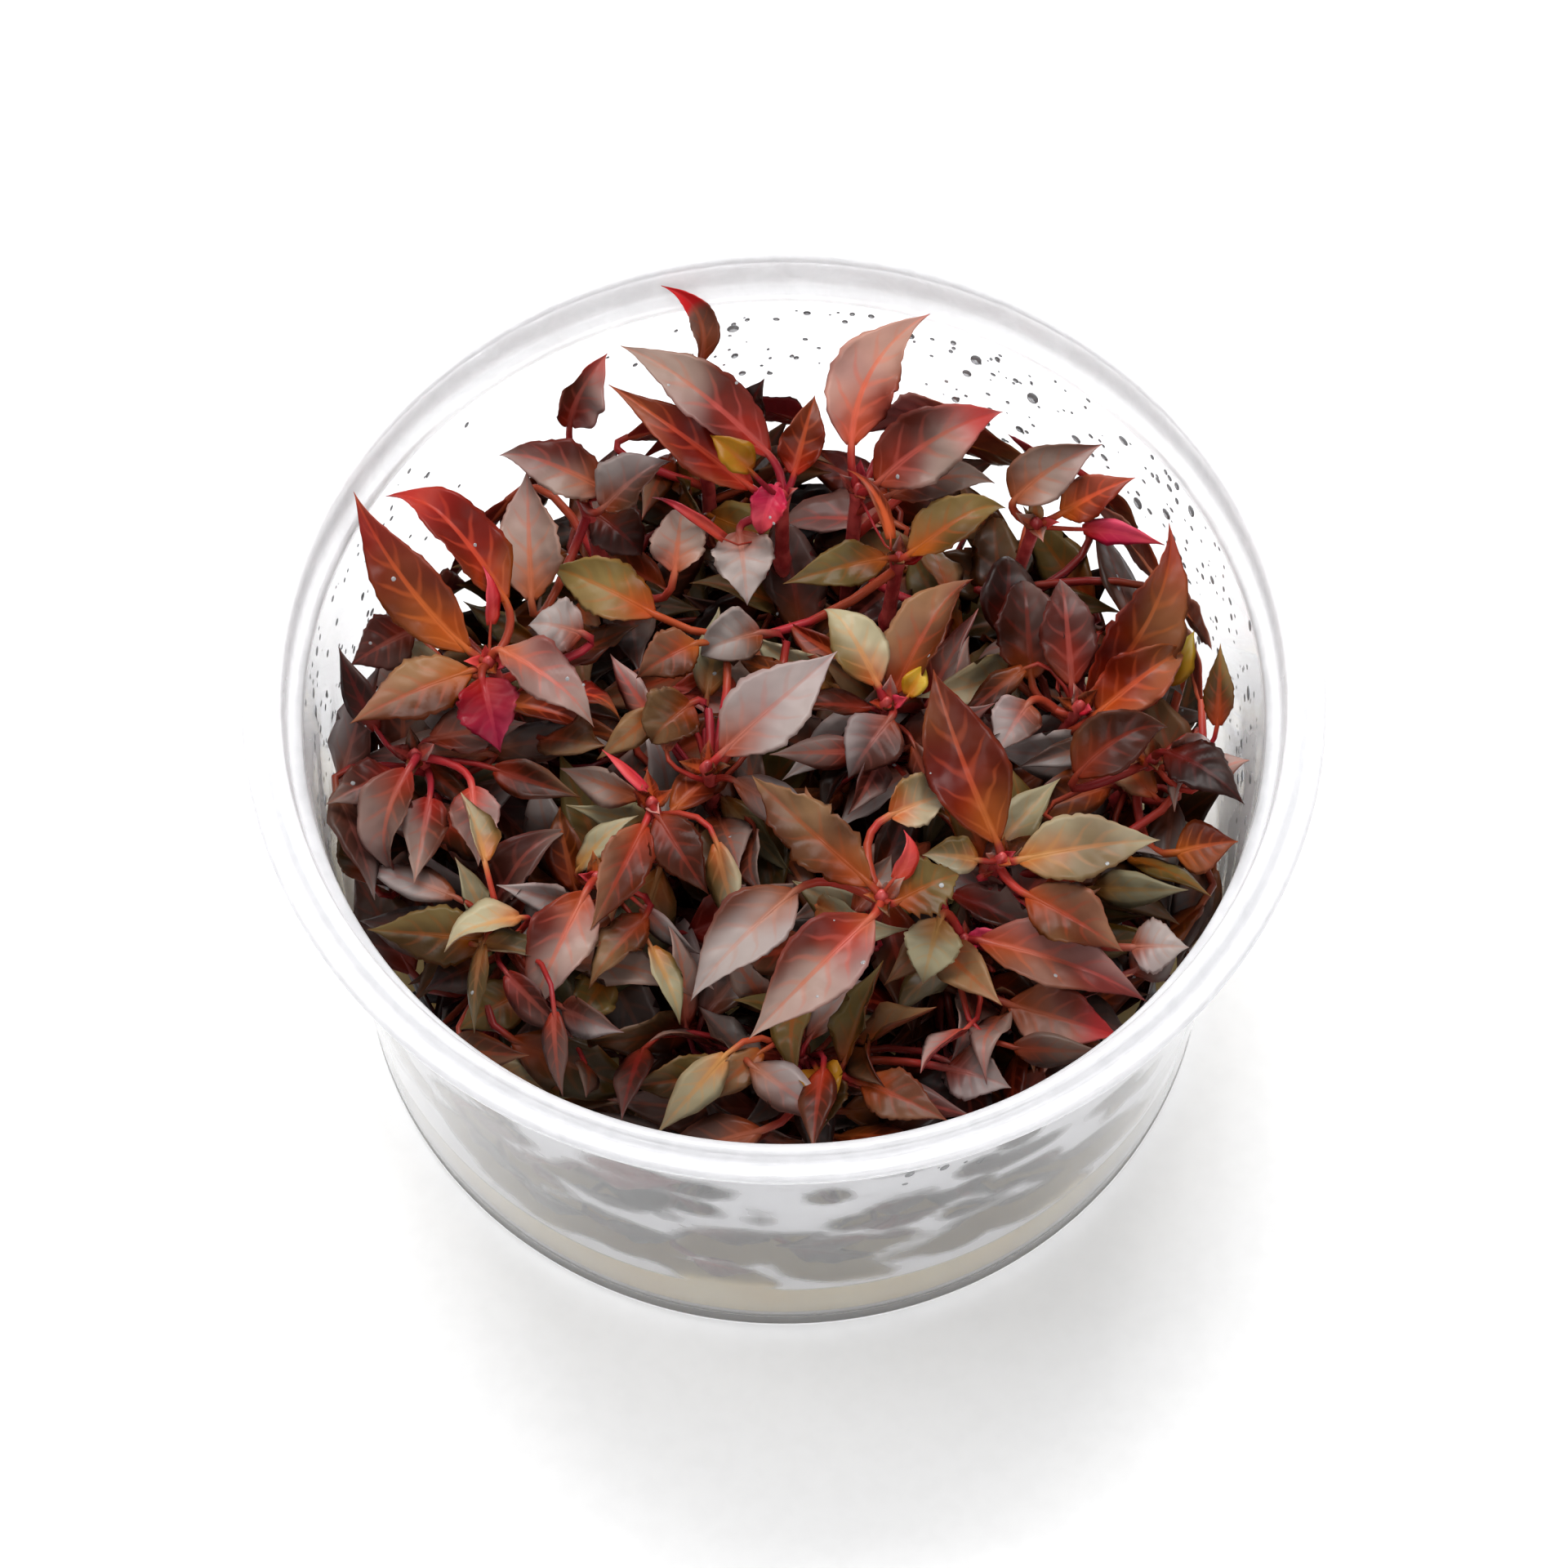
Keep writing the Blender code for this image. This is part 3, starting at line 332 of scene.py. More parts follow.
# Leaf stalk: radius, swollen root, and how deep it lies below the blade as its midrib
STALK_RADIUS = 0.46
STALK_ROOT = 1.15
STALK_TAPER = 0.25
MIDRIB_ROOT = 0.9
MIDRIB_DEPTH = 0.55

# Visible stems: detail, joints and their swelling, ridges, and the size and height of the bud's two rings
STEM_RINGS = 60
STEM_FACETS = 14
JOINT_SPACING = 9.5
JOINT_WIDTH = 0.9
JOINT_SWELLING = 0.32
STEM_SLIMNESS = 0.92
STEM_RIDGES = 4
RIDGE_HEIGHT = 0.05
BUD_RINGS = ((0.6, 0.6), (0.25, BUD_HEIGHT))

# How a leaf has grown: curl of its tip and depth of its fold, both as shares of its size, its twist in
# radians, how ragged its margin is, how red its tip is, past 1 with more of its blade, and how light it is
Habit = namedtuple("Habit", "curl fold twist ragged red_tip light")
HABITS = {
    "leaf_left_1": Habit(0.02, 0.35, 0.2, 0.04, 0.2, 0.50),
    "leaf_left_2": Habit(-0.24, 0.50, 0.3, 0.05, 0.8, 0.60),
    "leaf_left_4": Habit(-0.14, 0.45, -0.4, 0.05, 0.0, 0.75),
    "leaf_back_left_2": Habit(-0.10, 1.10, 0.2, 0.02, 0.5, 0.40),
    "leaf_back_2": Habit(0.02, 0.35, -0.3, 0.04, 0.0, 0.55),
    "leaf_back_right_1": Habit(0.06, 0.50, 0.5, 0.05, 0.0, 0.70),
    "leaf_back_right_2": Habit(-0.22, 0.35, -0.3, 0.04, 0.8, 0.50),
    "leaf_right_back_2": Habit(-0.05, 0.30, 0.2, 0.04, 0.0, 1.00),
    "leaf_middle_1": Habit(0.05, 0.40, -0.3, 0.05, 0.0, 0.75),
    "leaf_right_front_1": Habit(-0.04, 0.40, 0.2, 0.03, 0.0, 0.20),
    "leaf_right_front_2": Habit(-0.05, 0.35, -0.2, 0.05, 0.0, 0.60),
    "leaf_front_1": Habit(0.03, 0.45, 0.2, 0.03, 0.0, 0.70),
    "leaf_front_2": Habit(-0.05, 0.35, 0.3, 0.11, 0.0, 0.50),
    "leaf_front_3": Habit(-0.08, 0.50, -0.3, 0.04, 0.0, 0.70),
    "leaf_front_4": Habit(-0.12, 0.25, 0.2, 0.18, 0.0, 0.50),
    "leaf_front_right_1": Habit(-0.08, 0.50, -0.3, 0.03, 0.0, 0.30),
    "leaf_front_right_2": Habit(-0.08, 0.45, 0.4, 0.04, 0.6, 0.40),
    "leaf_right_1": Habit(-0.08, 0.55, -0.3, 0.08, 0.3, 0.35),
    "leaf_wall_back_1": Habit(-0.10, 0.95, 0.5, 0.04, 3.0, 0.05),
}
CURLS = (-0.32, 0.08)
FOLDS = (0.15, 0.80)
TWISTS = (-0.8, 0.8)
RAGGED = (0.02, 0.07)
WALL_FOLDS = (0.05, 0.15)
WALL_REACH = 4.5

# Leaves that fill the cup out, in layers of a height and a range of lengths; the back stays open high up
BLADE_ONLY = Detail((), (0.08, 0.32, 0.66, 1.0))
SHORT = (8.0, 12.0)
LONG = (10.0, 16.0)
LAYERS = ((46.0, SHORT), (42.0, LONG), (38.5, LONG), (35.0, LONG), (31.0, LONG), (27.0, LONG), (22.0, LONG))
LAYER_SPACING = 6.4
LAYER_INSET = 3.5
LAYER_WIDTHS = (0.15, 0.235)
LAYER_PITCHES = (-0.45, 0.8)
LAYER_LEAN = 0.8
LAYER_JITTER = 2.0
LAYER_SWING = 0.4
LAYER_DROPS = (0.0, -2.0, 2.0)
LAYER_TURNS = (0.0, 0.45, -0.45, 0.9, -0.9, 1.4, -1.4)
OPEN_BACK_HEIGHT = 36.0
OPEN_BACK_DEPTH = 14.0

# Young leaves round the buds
YOUNG_LEAVES = 4
YOUNG_SPREAD = 1.05
YOUNG_SWING = 0.3
YOUNG_PITCHES = (0.7, 1.2)
YOUNG_LENGTHS = (2.4, 4.2)
YOUNG_DEPTH = 0.6
YOUNG_START = 0.15
YOUNG_WIDTH = 0.2
YOUNG_ARCH = -0.1

# Kinds of the many leaves: above a height, below it, against the wall and round the buds
UPPER_HEIGHT = 37.0
UPPER_KINDS = ("bronze", "mauve", "grey", "olive", "ember", "bronze", "grey", "mauve", "dark", "pale")
INNER_KINDS = ("bronze", "bronze", "olive", "dark", "bronze", "mauve", "olive", "ember")
WALL_KINDS = ("bronze", "mauve", "magenta", "dark", "bronze", "rose", "olive", "dark")
YOUNG_KINDS = ("ember", "magenta", "rose", "bronze")

# Cup: detail, and fog on the rim, outside and inner wall; it is wiped off where a leaf comes near the wall
CUP_TURNS = 240
LONGEST_RUN = 0.9
CORNER_STEPS = 4
CORNER_CUT = 0.45
CUP_CORNERS = 0.5
GEL_CORNERS = 0.8
RIM_FOG = 0.60
FOOT_FOG = 1.0
OUTER_FOG = 0.03
UPPER_FOG = 0.40
BACK_FOG = 0.12
FOG_TOP = (42.0, 52.0)
FOG_BACK = (-25.0, 15.0)
WIPED_REACH = (1.9, 3.3)
WIPED_FOG = 0.05

# Drops of water on the leaves and on the inner wall
LEAF_DROPS = 50
LEAF_DROP_SIZES = (0.12, 0.30)
DROP_SIDES = 10
DROP_RINGS = 4
DROP_HEIGHT = 0.25
DROP_SIZE = 0.27
DROP_SPREAD = 0.45
DROP_STRETCHES = (0.8, 1.5)
LARGEST_DROP = 0.7

# Patches of drops on the wall: direction and its spread in degrees, lowest and highest, and how many
DROP_PATCHES = (
    (178.0, 9.0, 34.0, 53.0, 90),
    (152.0, 10.0, 38.0, 53.0, 45),
    (92.0, 9.0, 40.0, 53.0, 45),
    (60.0, 8.0, 38.0, 54.0, 70),
    (32.0, 11.0, 34.0, 54.0, 100),
    (6.0, 9.0, 34.0, 50.0, 60),
    (-62.0, 7.0, 40.0, 50.0, 60),
)

# Colours of a kind of leaf: blade, its pale painted sheen, veins and foot; how strongly its veins show;
# how far the painted sheen spreads
LeafLook = namedtuple("LeafLook", "blade bloom vein foot veins spread")
LEAF_LOOKS = {
    "ember": LeafLook((0.120, 0.010, 0.002), (0.24, 0.058, 0.028),
                      (0.46, 0.062, 0.020), (0.40, 0.032, 0.004), 0.85, -0.08),
    "bronze": LeafLook((0.056, 0.010, 0.001), (0.21, 0.095, 0.050),
                       (0.27, 0.036, 0.012), (0.28, 0.028, 0.003), 0.6, -0.03),
    "mauve": LeafLook((0.082, 0.014, 0.007), (0.29, 0.185, 0.162),
                      (0.40, 0.075, 0.050), (0.32, 0.026, 0.006), 0.7, 0.05),
    "grey": LeafLook((0.070, 0.020, 0.011), (0.30, 0.240, 0.228),
                     (0.34, 0.10, 0.075), (0.22, 0.024, 0.006), 0.5, 0.09),
    "rose": LeafLook((0.180, 0.030, 0.020), (0.38, 0.190, 0.165),
                     (0.52, 0.075, 0.052), (0.40, 0.034, 0.012), 0.75, 0.04),
    "olive": LeafLook((0.054, 0.022, 0.002), (0.17, 0.100, 0.036),
                      (0.28, 0.050, 0.008), (0.30, 0.040, 0.003), 0.6, -0.03),
    "pale": LeafLook((0.110, 0.064, 0.018), (0.31, 0.255, 0.165),
                     (0.40, 0.17, 0.06), (0.38, 0.080, 0.010), 0.6, 0.08),
    # Below: a dark wine red for leaves deep among the others and behind the front wall, darkened further as
    # painted shade
    "dark": LeafLook((0.024, 0.005, 0.002), (0.11, 0.060, 0.050),
                     (0.14, 0.013, 0.006), (0.14, 0.013, 0.003), 0.5, -0.05),
    "magenta": LeafLook((0.340, 0.007, 0.034), (0.46, 0.045, 0.085),
                        (0.52, 0.045, 0.075), (0.40, 0.012, 0.024), 0.5, -0.05),
    "yellow": LeafLook((0.420, 0.190, 0.006), (0.55, 0.34, 0.04),
                       (0.50, 0.14, 0.010), (0.38, 0.09, 0.006), 0.5, -0.04),
}
CRIMSON = (0.32, 0.018, 0.020)
UNDERSIDE = (0.19, 0.015, 0.014)
RED_TIP = (0.42, 0.012, 0.014)
# Painted shade: leaves darken from the upper of these heights down to the lower, less towards the back, down
# to the deepest share of their colour
SHADED_HEIGHTS = (31.0, 48.0)
BACK_LIFT = 0.15
DEEPEST_SHADE = 0.48
LEAF_ROUGHNESS = (0.3, 0.7, 0.29, 0.42)
LEAF_TRANSLUCENCE = 0.18
LEAF_CLOUDS = (85.0, 1.0)
LEAF_FLECKS = (360.0, 1.0)

# Marks on a blade, each as the two levels where it starts and ends, and then how wide or strong it is there
MIDRIB_REACH = (0.0, 1.0, 0.42, 0.13)
MIDRIB_EDGE = (1.1, 0.5)
MIDRIB_STRENGTH = 1.15
VEIN_REACH = (0.0, 1.0, 0.14, 0.05)
VEIN_EDGE = (1.6, 0.2)
VEIN_STRENGTH = 0.6
VEIN_WOBBLE = 0.6
VEIN_MARGIN_END = (0.95, 0.5)
VEIN_TIP_END = (0.97, 0.7)
VEIN_FADING = (1.0, 0.15, 0.35, 1.0)
MARGIN_TINT = (0.86, 1.0, 0.0, 0.22)
FOOT_TINT = (0.66, 0.16, 0.0, 0.9)
FOOT_FLECKS = 0.25
FOOT_CURVE = 0.22
STALK_TINT = (0.10, -0.25)
UNDERSIDE_TINT = (0.4, 0.2, 0.0, 0.6)
RED_TIP_TINT = (0.5, 0.85)

# Painted sheen of a blade: the half that it prefers, its growth towards the tip and with light, and how hues
# drift
SHEEN_DRAW = 7.3
SHEEN_LEAN = 0.75
SHEEN_CENTRE = 0.45
SHEEN_TIPWARD = 0.30
SHEEN_BY_LIGHTNESS = 0.30
SHEEN_EDGE = (0.30, 0.76)
SHEEN_BY_DAY = (0.0, 1.0, 0.3, 1.0)
HUE_DRIFT = (0.3, 0.7, 0.494, 0.518)
LIGHTNESS = (0.0, 1.0, 0.6, 1.2)

# Looks of the stems, the plastic, the gel and the water
STEM_RED = (0.24, 0.016, 0.018)
STEM_STREAK = (0.40, 0.050, 0.045)
STEM_FOOT = (0.13, 0.05, 0.016)
STEM_FOOT_TINT = (0.0, 0.55, 0.6, 0.0)
STEM_STREAKS = (650.0, 3.0)
STEM_GRAIN = (1800.0, 3.0)
PLASTIC = (0.97, 0.97, 0.985)
# Painted shade: the milky rim is darkened towards this grey, most at the front
FRONT_RIM_SHADE = (0.82, 0.82, 0.84)
CLEAR_TO_FOGGED = (1.0, 0.16)
CUP_ROUGHNESS = (0.05, 0.34)
GRAZING_HAZE = (0.75, 1.0, 0.0, 0.6)
FOG_PATCHES = (260.0, 3.0, 0.6)
FOG_PATCH_RANGE = (0.25, 0.75, 0.9, 1.05)
# Where the painted shade on the rim lies: from which fog it starts, and its strength from front to back
FRONT_RIM_SHADE_EDGE = (0.3, 0.55)
FRONT_RIM_SHADE_DEPTHS = (-25.0, 25.0)
FRONT_RIM_SHADE_STRENGTHS = (1.0, 0.1)
DARK_GEL = (0.88, 0.66, 0.30)
LIGHT_GEL = (0.94, 0.80, 0.46)
GEL_CLEARNESS = 0.4
DARK_WATER = (0.50, 0.51, 0.53)
LIGHT_WATER = (0.66, 0.67, 0.68)
WATER_CLEARNESS = 0.65

# Floor, surroundings and lights: place and size in metres, and power in watts
FLOOR_SIZE = 8.0
DARK_PAPER = (0.93, 0.93, 0.93)
LIGHT_PAPER = (0.95, 0.95, 0.95)
WORLD_STRENGTH = 0.66
LIGHT_AIM = Vector((0.0, 0.0, 0.04))
LIGHTS = (
    ("overhead", (-0.05, 0.42, 0.88), (0.8, 0.5), 11.0),
    ("left", (-0.70, 0.10, 0.60), (0.5, 0.5), 1.8),
    ("front_fill", (0.45, -0.75, 0.60), (0.8, 0.6), 3.4),
)


def turned(profile, segments):
    """Closed solid turned about the Z axis; the section starts and ends on the axis."""
    verts = [Vector((0.0, 0.0, profile[0][1]))]
    rings = []
    for radius, height in profile[1:-1]:
        rings.append(len(verts))
        for i in range(segments):
            angle = 2 * math.pi * i / segments
            verts.append(Vector((radius * math.cos(angle), radius * math.sin(angle), height)))
    last = len(verts)
    verts.append(Vector((0.0, 0.0, profile[-1][1])))
    faces = []
    for i in range(segments):
        j = (i + 1) % segments
        faces.append((0, rings[0] + j, rings[0] + i))
        for low, high in zip(rings, rings[1:]):
            faces.append((low + i, low + j, high + j, high + i))
        faces.append((last, rings[-1] + i, rings[-1] + j))
    return Shape(verts, faces)


def inner_radius(height):
    """Radius of the cup's inner wall at a height."""
    if height >= LEDGE_HEIGHT:
        return BAND_RADIUS
    rise = (height - FLOOR_HEIGHT) / (LEDGE_HEIGHT - FLOOR_HEIGHT)
    return BASE_RADIUS + (WALL_TOP_RADIUS - BASE_RADIUS) * rise


def cup_profile():
    """Section of the cup: up its outside, over the rim and down its inside."""
    top = CUP_HEIGHT
    flange_top = top - 0.75
    flange_bottom = flange_top - FLANGE_THICKNESS
    outer_base = BASE_RADIUS + WALL_THICKNESS
    outer_top = WALL_TOP_RADIUS + WALL_THICKNESS
    outer_band = BAND_RADIUS + WALL_THICKNESS
    return [
        (0.0, FOOT_RECESS),
        (FOOT_INNER_RADIUS - FOOT_RECESS, FOOT_RECESS),
        (FOOT_INNER_RADIUS, 0.0),
        (FOOT_OUTER_RADIUS, 0.0),
        (outer_base + 0.2, 1.1),
        (outer_base, 2.2),
        (outer_top, LEDGE_HEIGHT - 0.6),
        (outer_band, LEDGE_HEIGHT + 0.4),
        (outer_band + 0.1, flange_bottom),
        (FLANGE_RADIUS - 0.3, flange_bottom - 0.4),
        (FLANGE_RADIUS, flange_top - 0.5),
        (FLANGE_RADIUS - 0.5, flange_top),
        (GROOVE_RADIUS, flange_top - 0.35),
        (CREST_RADIUS + 0.5, top - 0.1),
        (CREST_RADIUS, top),
        (CREST_RADIUS - 1.0, top - 0.9),
        (BAND_RADIUS, LEDGE_HEIGHT + 0.6),
        (WALL_TOP_RADIUS, LEDGE_HEIGHT),
        (BASE_RADIUS + 0.1, FLOOR_HEIGHT + 1.3),
        (BASE_RADIUS - 1.6, FLOOR_HEIGHT),
        (0.0, FLOOR_HEIGHT),
    ]


def gel_profile():
    """Section of the gel, a gap inside the cup, with a low meniscus where it meets the wall."""
    floor = FLOOR_HEIGHT + GAP
    return [
        (0.0, floor),
        (BASE_RADIUS - 1.9, floor),
        (inner_radius(floor + 1.4) - GAP, floor + 1.4),
        (inner_radius(GEL_TOP) - GAP, GEL_TOP + 0.5),
        (inner_radius(GEL_TOP) - 2.2, GEL_TOP),
        (0.0, GEL_TOP),
    ]


def sight_point(pixel, height):
    """The point of that height on the photograph's line of sight through a pixel."""
    back = Vector((0.0, -math.cos(VIEW_ELEVATION), math.sin(VIEW_ELEVATION)))
    up = Vector((0.0, math.sin(VIEW_ELEVATION), math.cos(VIEW_ELEVATION)))
    right = Vector((1.0, 0.0, 0.0))
    eye = VIEW_TARGET + back * VIEW_DISTANCE
    across = (pixel[0] - VIEW_CENTRE[0]) / VIEW_FOCAL_PIXELS
    down = (pixel[1] - VIEW_CENTRE[1]) / VIEW_FOCAL_PIXELS
    ray = right * across - up * down - back
    return eye + ray * ((height - eye.z) / ray.z)


def bezier(a, b, c, t):
    """Point of a curve with three control points."""
    return a * (1 - t) ** 2 + b * (2 * t * (1 - t)) + c * t ** 2


def outward(angle):
    """Level direction at an angle round the cup's axis."""
    return Vector((math.cos(angle), math.sin(angle), 0.0))


def climbing(level, pitch):
    """A level direction turned up by a pitch."""
    return level * math.cos(pitch) + Vector((0.0, 0.0, math.sin(pitch)))


def stem_ends(plantlet):
    """Where a plantlet's stem leaves the bottom of its socket, and where its top leaves meet."""
    pixel, height = PLANTLETS[plantlet]
    top = sight_point(pixel, height)
    root = Vector((top.x * ROOT_SPREAD, top.y * ROOT_SPREAD, GEL_TOP - SOCKET_DEPTH))
    return root, top


def stem_point(plantlet, height):
    """Point of a stem's middle line at a height; it stands up straight and then leans out."""
    root, top = stem_ends(plantlet)
    upright = Vector((root.x, root.y, (root.z + top.z) / 2))
    return bezier(root, upright, top, (height - root.z) / (top.z - root.z))


def stem_radius(plantlet, height):
    """Radius of a stem at a height."""
    root, top = stem_ends(plantlet)
    rise = (height - root.z) / (top.z - root.z)
    return STEM_BASE_RADIUS + (STEM_TIP_RADIUS - STEM_BASE_RADIUS) * rise


def stem_shape(plantlet):
    """Tapered tube of a stem, closed by the pointed bud at its top."""
    root, top = stem_ends(plantlet)
    verts = []
    for step in range(STEM_STEPS + 1):
        height = root.z + (top.z - root.z) * step / STEM_STEPS
        middle = stem_point(plantlet, height)
        radius = stem_radius(plantlet, height)
        for side in range(STEM_SIDES):
            angle = 2 * math.pi * side / STEM_SIDES
            verts.append(middle + Vector((radius * math.cos(angle), radius * math.sin(angle), 0.0)))
    verts.append(top + Vector((0.0, 0.0, BUD_HEIGHT)))
    faces = [tuple(reversed(range(STEM_SIDES)))]
    for step in range(STEM_STEPS):
        low = step * STEM_SIDES
        high = low + STEM_SIDES
        for side in range(STEM_SIDES):
            after = (side + 1) % STEM_SIDES
            faces.append((low + side, low + after, high + after, high + side))
    rim = STEM_STEPS * STEM_SIDES
    for side in range(STEM_SIDES):
        faces.append((rim + side, rim + (side + 1) % STEM_SIDES, len(verts) - 1))
    return Shape(verts, faces)


def leaf_up(leaf):
    """Direction that the middle of a leaf's upper face looks in."""
    along = (leaf.tip - leaf.neck).normalized()
    up = (LEAF_FACE - along * LEAF_FACE.dot(along)).normalized()
    up.rotate(Quaternion(along, math.radians(leaf.roll)))
    return up


def blade_outline(share):
    """Half width of a blade as a share of its widest, from its neck to its drawn-out tip."""
    return max(0.0, math.sin(math.pi * share ** 0.8)) ** 1.15


def leaf_right(leaf):
    """Direction sideways across a leaf."""
    return (leaf.tip - leaf.neck).normalized().cross(leaf_up(leaf))


def leaf_crown(leaf):
    """Middle control point of a blade's line, which gives it its arch and its sideways bend."""
    length = (leaf.tip - leaf.neck).length
    sway = leaf_up(leaf) * leaf.arch + leaf_right(leaf) * leaf.bend
    return (leaf.tip + leaf.neck) / 2 + sway * (2 * length)


def leaf_sections(leaf, detail):
    """Middle point, half width and thickness of each section from the stem to the tip."""
    crown = leaf_crown(leaf)
    stalk = (leaf.neck - leaf.root).length
    knee = leaf.neck - (crown - leaf.neck).normalized() * stalk / 2
    sections = []
    for share in detail.stalk:
        middle = bezier(leaf.root, knee, leaf.neck, share)
        sections.append((middle, STALK_HALF_WIDTH, 2 * STALK_HALF_WIDTH))
    for share in detail.blade:
        middle = bezier(leaf.neck, crown, leaf.tip, share)
        stalk_share = (1 - share) ** 4
        width = leaf.half_width * blade_outline(share) + STALK_HALF_WIDTH * stalk_share
        thickness = BLADE_THICKNESS + (2 * STALK_HALF_WIDTH - BLADE_THICKNESS) * stalk_share
        sections.append((middle, width, thickness))
    return sections


def leaf_shape(leaf, detail):
    """Thin closed blade with a low keel under a shallow fold, on its leaf stalk."""
    right = leaf_right(leaf)
    sections = leaf_sections(leaf, detail)
    verts = []
    for number, (middle, width, thickness) in enumerate(sections[:-1]):
        tangent = (sections[number + 1][0] - sections[max(number - 1, 0)][0]).normalized()
        across = (right - tangent * right.dot(tangent)).normalized()
        lift = across.cross(tangent)
        bend = math.radians(LEAF_FOLD) if number >= len(detail.stalk) else 0.0
        side = across * (width * math.cos(bend))
        raised = lift * (width * math.sin(bend))
        verts.append(middle - side + raised)
        verts.append(middle + lift * (thickness / 2))
        verts.append(middle + side + raised)
        verts.append(middle - lift * (thickness / 2))
    verts.append(sections[-1][0])
    tip = len(verts) - 1
    faces = [(3, 2, 1, 0)]
    for low in range(0, tip - 4, 4):
        for corner in range(4):
            after = (corner + 1) % 4
            faces.append((low + corner, low + after, low + 4 + after, low + 4 + corner))
    for corner in range(4):
        faces.append((tip - 4 + corner, tip - 4 + (corner + 1) % 4, tip))
    return Shape(verts, faces)


def swollen(shape, amount):
    """The same surface moved outwards at its corners."""
    normals = [Vector() for _ in shape.verts]
    for face in shape.faces:
        a, b, c = (shape.verts[i] for i in face[:3])
        normal = (b - a).cross(c - a).normalized()
        for i in face:
            normals[i] += normal
    return [v + n.normalized() * amount for v, n in zip(shape.verts, normals)]


def tree_of(shape, amount=0.0):
    """Search tree of a shape, swollen by an amount."""
    return BVHTree.FromPolygons(swollen(shape, amount), shape.faces)


def inside_cup(shape):
    """Whether a shape stays above the gel, within the wall and under the crest of the rim."""
    for v in shape.verts:
        if math.hypot(v.x, v.y) > inner_radius(v.z) - 1.5 * GAP:
            return False
        if not GEL_TOP + 3 * GAP < v.z < CUP_HEIGHT - GAP:
            return False
    return True


def leaf_root(plantlet, neck, tip, height, inset):
    """Point beside a stem where a leaf stalk starts, on the side that its blade lies."""
    height = min(height, PLANTLETS[plantlet][1] - SIGHTED_TOP_MARGIN)
    middle = stem_point(plantlet, height)
    way = (neck - middle) * 2 + (tip - middle) * TAIL_SHARE
    way.z = 0.0
    return middle + way.normalized() * (stem_radius(plantlet, height) + inset)


def upper_stem_point(plantlet, height):
    """Point of a stem's middle line at a height, or just under its top."""
    return stem_point(plantlet, min(height, PLANTLETS[plantlet][1] - STEM_TOP_MARGIN))


def sighting_choices(sighting, inset):
    """Places a seen leaf can take: slid along the lines of sight, and lower or higher on its stem."""
    for slide in SLIDES:
        neck = sight_point(sighting.neck, sighting.neck_z + slide)
        tip = sight_point(sighting.tip, sighting.tip_z + slide)
        for drop in DROPS:
            root = leaf_root(sighting.plantlet, neck, tip, neck.z - drop, inset)
            yield Leaf(root, neck, tip, sighting.half_width, sighting.roll, sighting.arch, sighting.bend)


def small_leaf_choices(plantlet, level, side, chance):
    """Places that one small leaf of a lower pair can take around its stem."""
    _, top = stem_ends(plantlet)
    height = top.z - level * NODE_SPACING + chance.uniform(-PAIR_JITTER, PAIR_JITTER)
    length = chance.uniform(*PAIR_LENGTHS)
    width = length * chance.uniform(*PAIR_WIDTHS)
    start = math.pi * side + math.pi / 2 * (level % 2) + chance.uniform(-PAIR_SWING, PAIR_SWING)
    roll = chance.uniform(-PAIR_ROLL, PAIR_ROLL)
    middle = stem_point(plantlet, height)
    for pitch in PAIR_PITCHES:
        for turn in PAIR_TURNS:
            way = climbing(outward(start + turn), pitch)
            neck = middle + way * (PAIR_START * length)
            tip = middle + way * ((1 + PAIR_START) * length)
            yield Leaf(middle, neck, tip, width, roll, PAIR_ARCH, 0.0)


def nearest_stems(place):
    """The plantlets whose stems pass nearest to a place."""
    def distance(plantlet):
        return (upper_stem_point(plantlet, place.z) - place).length
    return sorted(PLANTLETS, key=distance)[:NEAREST_STEMS]


def roll_towards(neck, tip, facing):
    """Roll in degrees that turns a leaf's upper face to a direction."""
    along = (tip - neck).normalized()
    up = (LEAF_FACE - along * LEAF_FACE.dot(along)).normalized()
    aim = (facing - along * facing.dot(along)).normalized()
    return math.degrees(math.atan2(along.dot(up.cross(aim)), up.dot(aim)))


def grown_leaf(plantlet, place):
    """Leaf of a plantlet in a place, bent a little round."""
    root = upper_stem_point(plantlet, max(place.neck.z - ROOT_DROP, GEL_TOP + STEM_TOP_MARGIN))
    roll = roll_towards(place.neck, place.tip, place.facing)
    return Leaf(root, place.neck, place.tip, place.half_width, roll, WALL_LEAF_ARCH, 0.0)


def wall_point(pixel, inset):
    """Point a little inside the front wall on the photograph's line of sight through a pixel."""
    low, high = FLOOR_HEIGHT, LEDGE_HEIGHT
    for _ in range(WALL_HALVINGS):
        middle = (low + high) / 2
        place = sight_point(pixel, middle)
        if math.hypot(place.x, place.y) > inner_radius(middle) - inset:
            high = middle
        else:
            low = middle
    return sight_point(pixel, low)


def seen_wall_places(tip_pixel, neck_pixel, half_width):
    """Places, from the wall inwards, for a leaf seen through the front wall."""
    for inset in WALL_INSETS:
        tip = wall_point(tip_pixel, inset)
        neck = wall_point(neck_pixel, inset)
        out = (tip + neck) / 2
        out.z = 0.0
        yield Place(neck, tip, half_width, out.normalized())


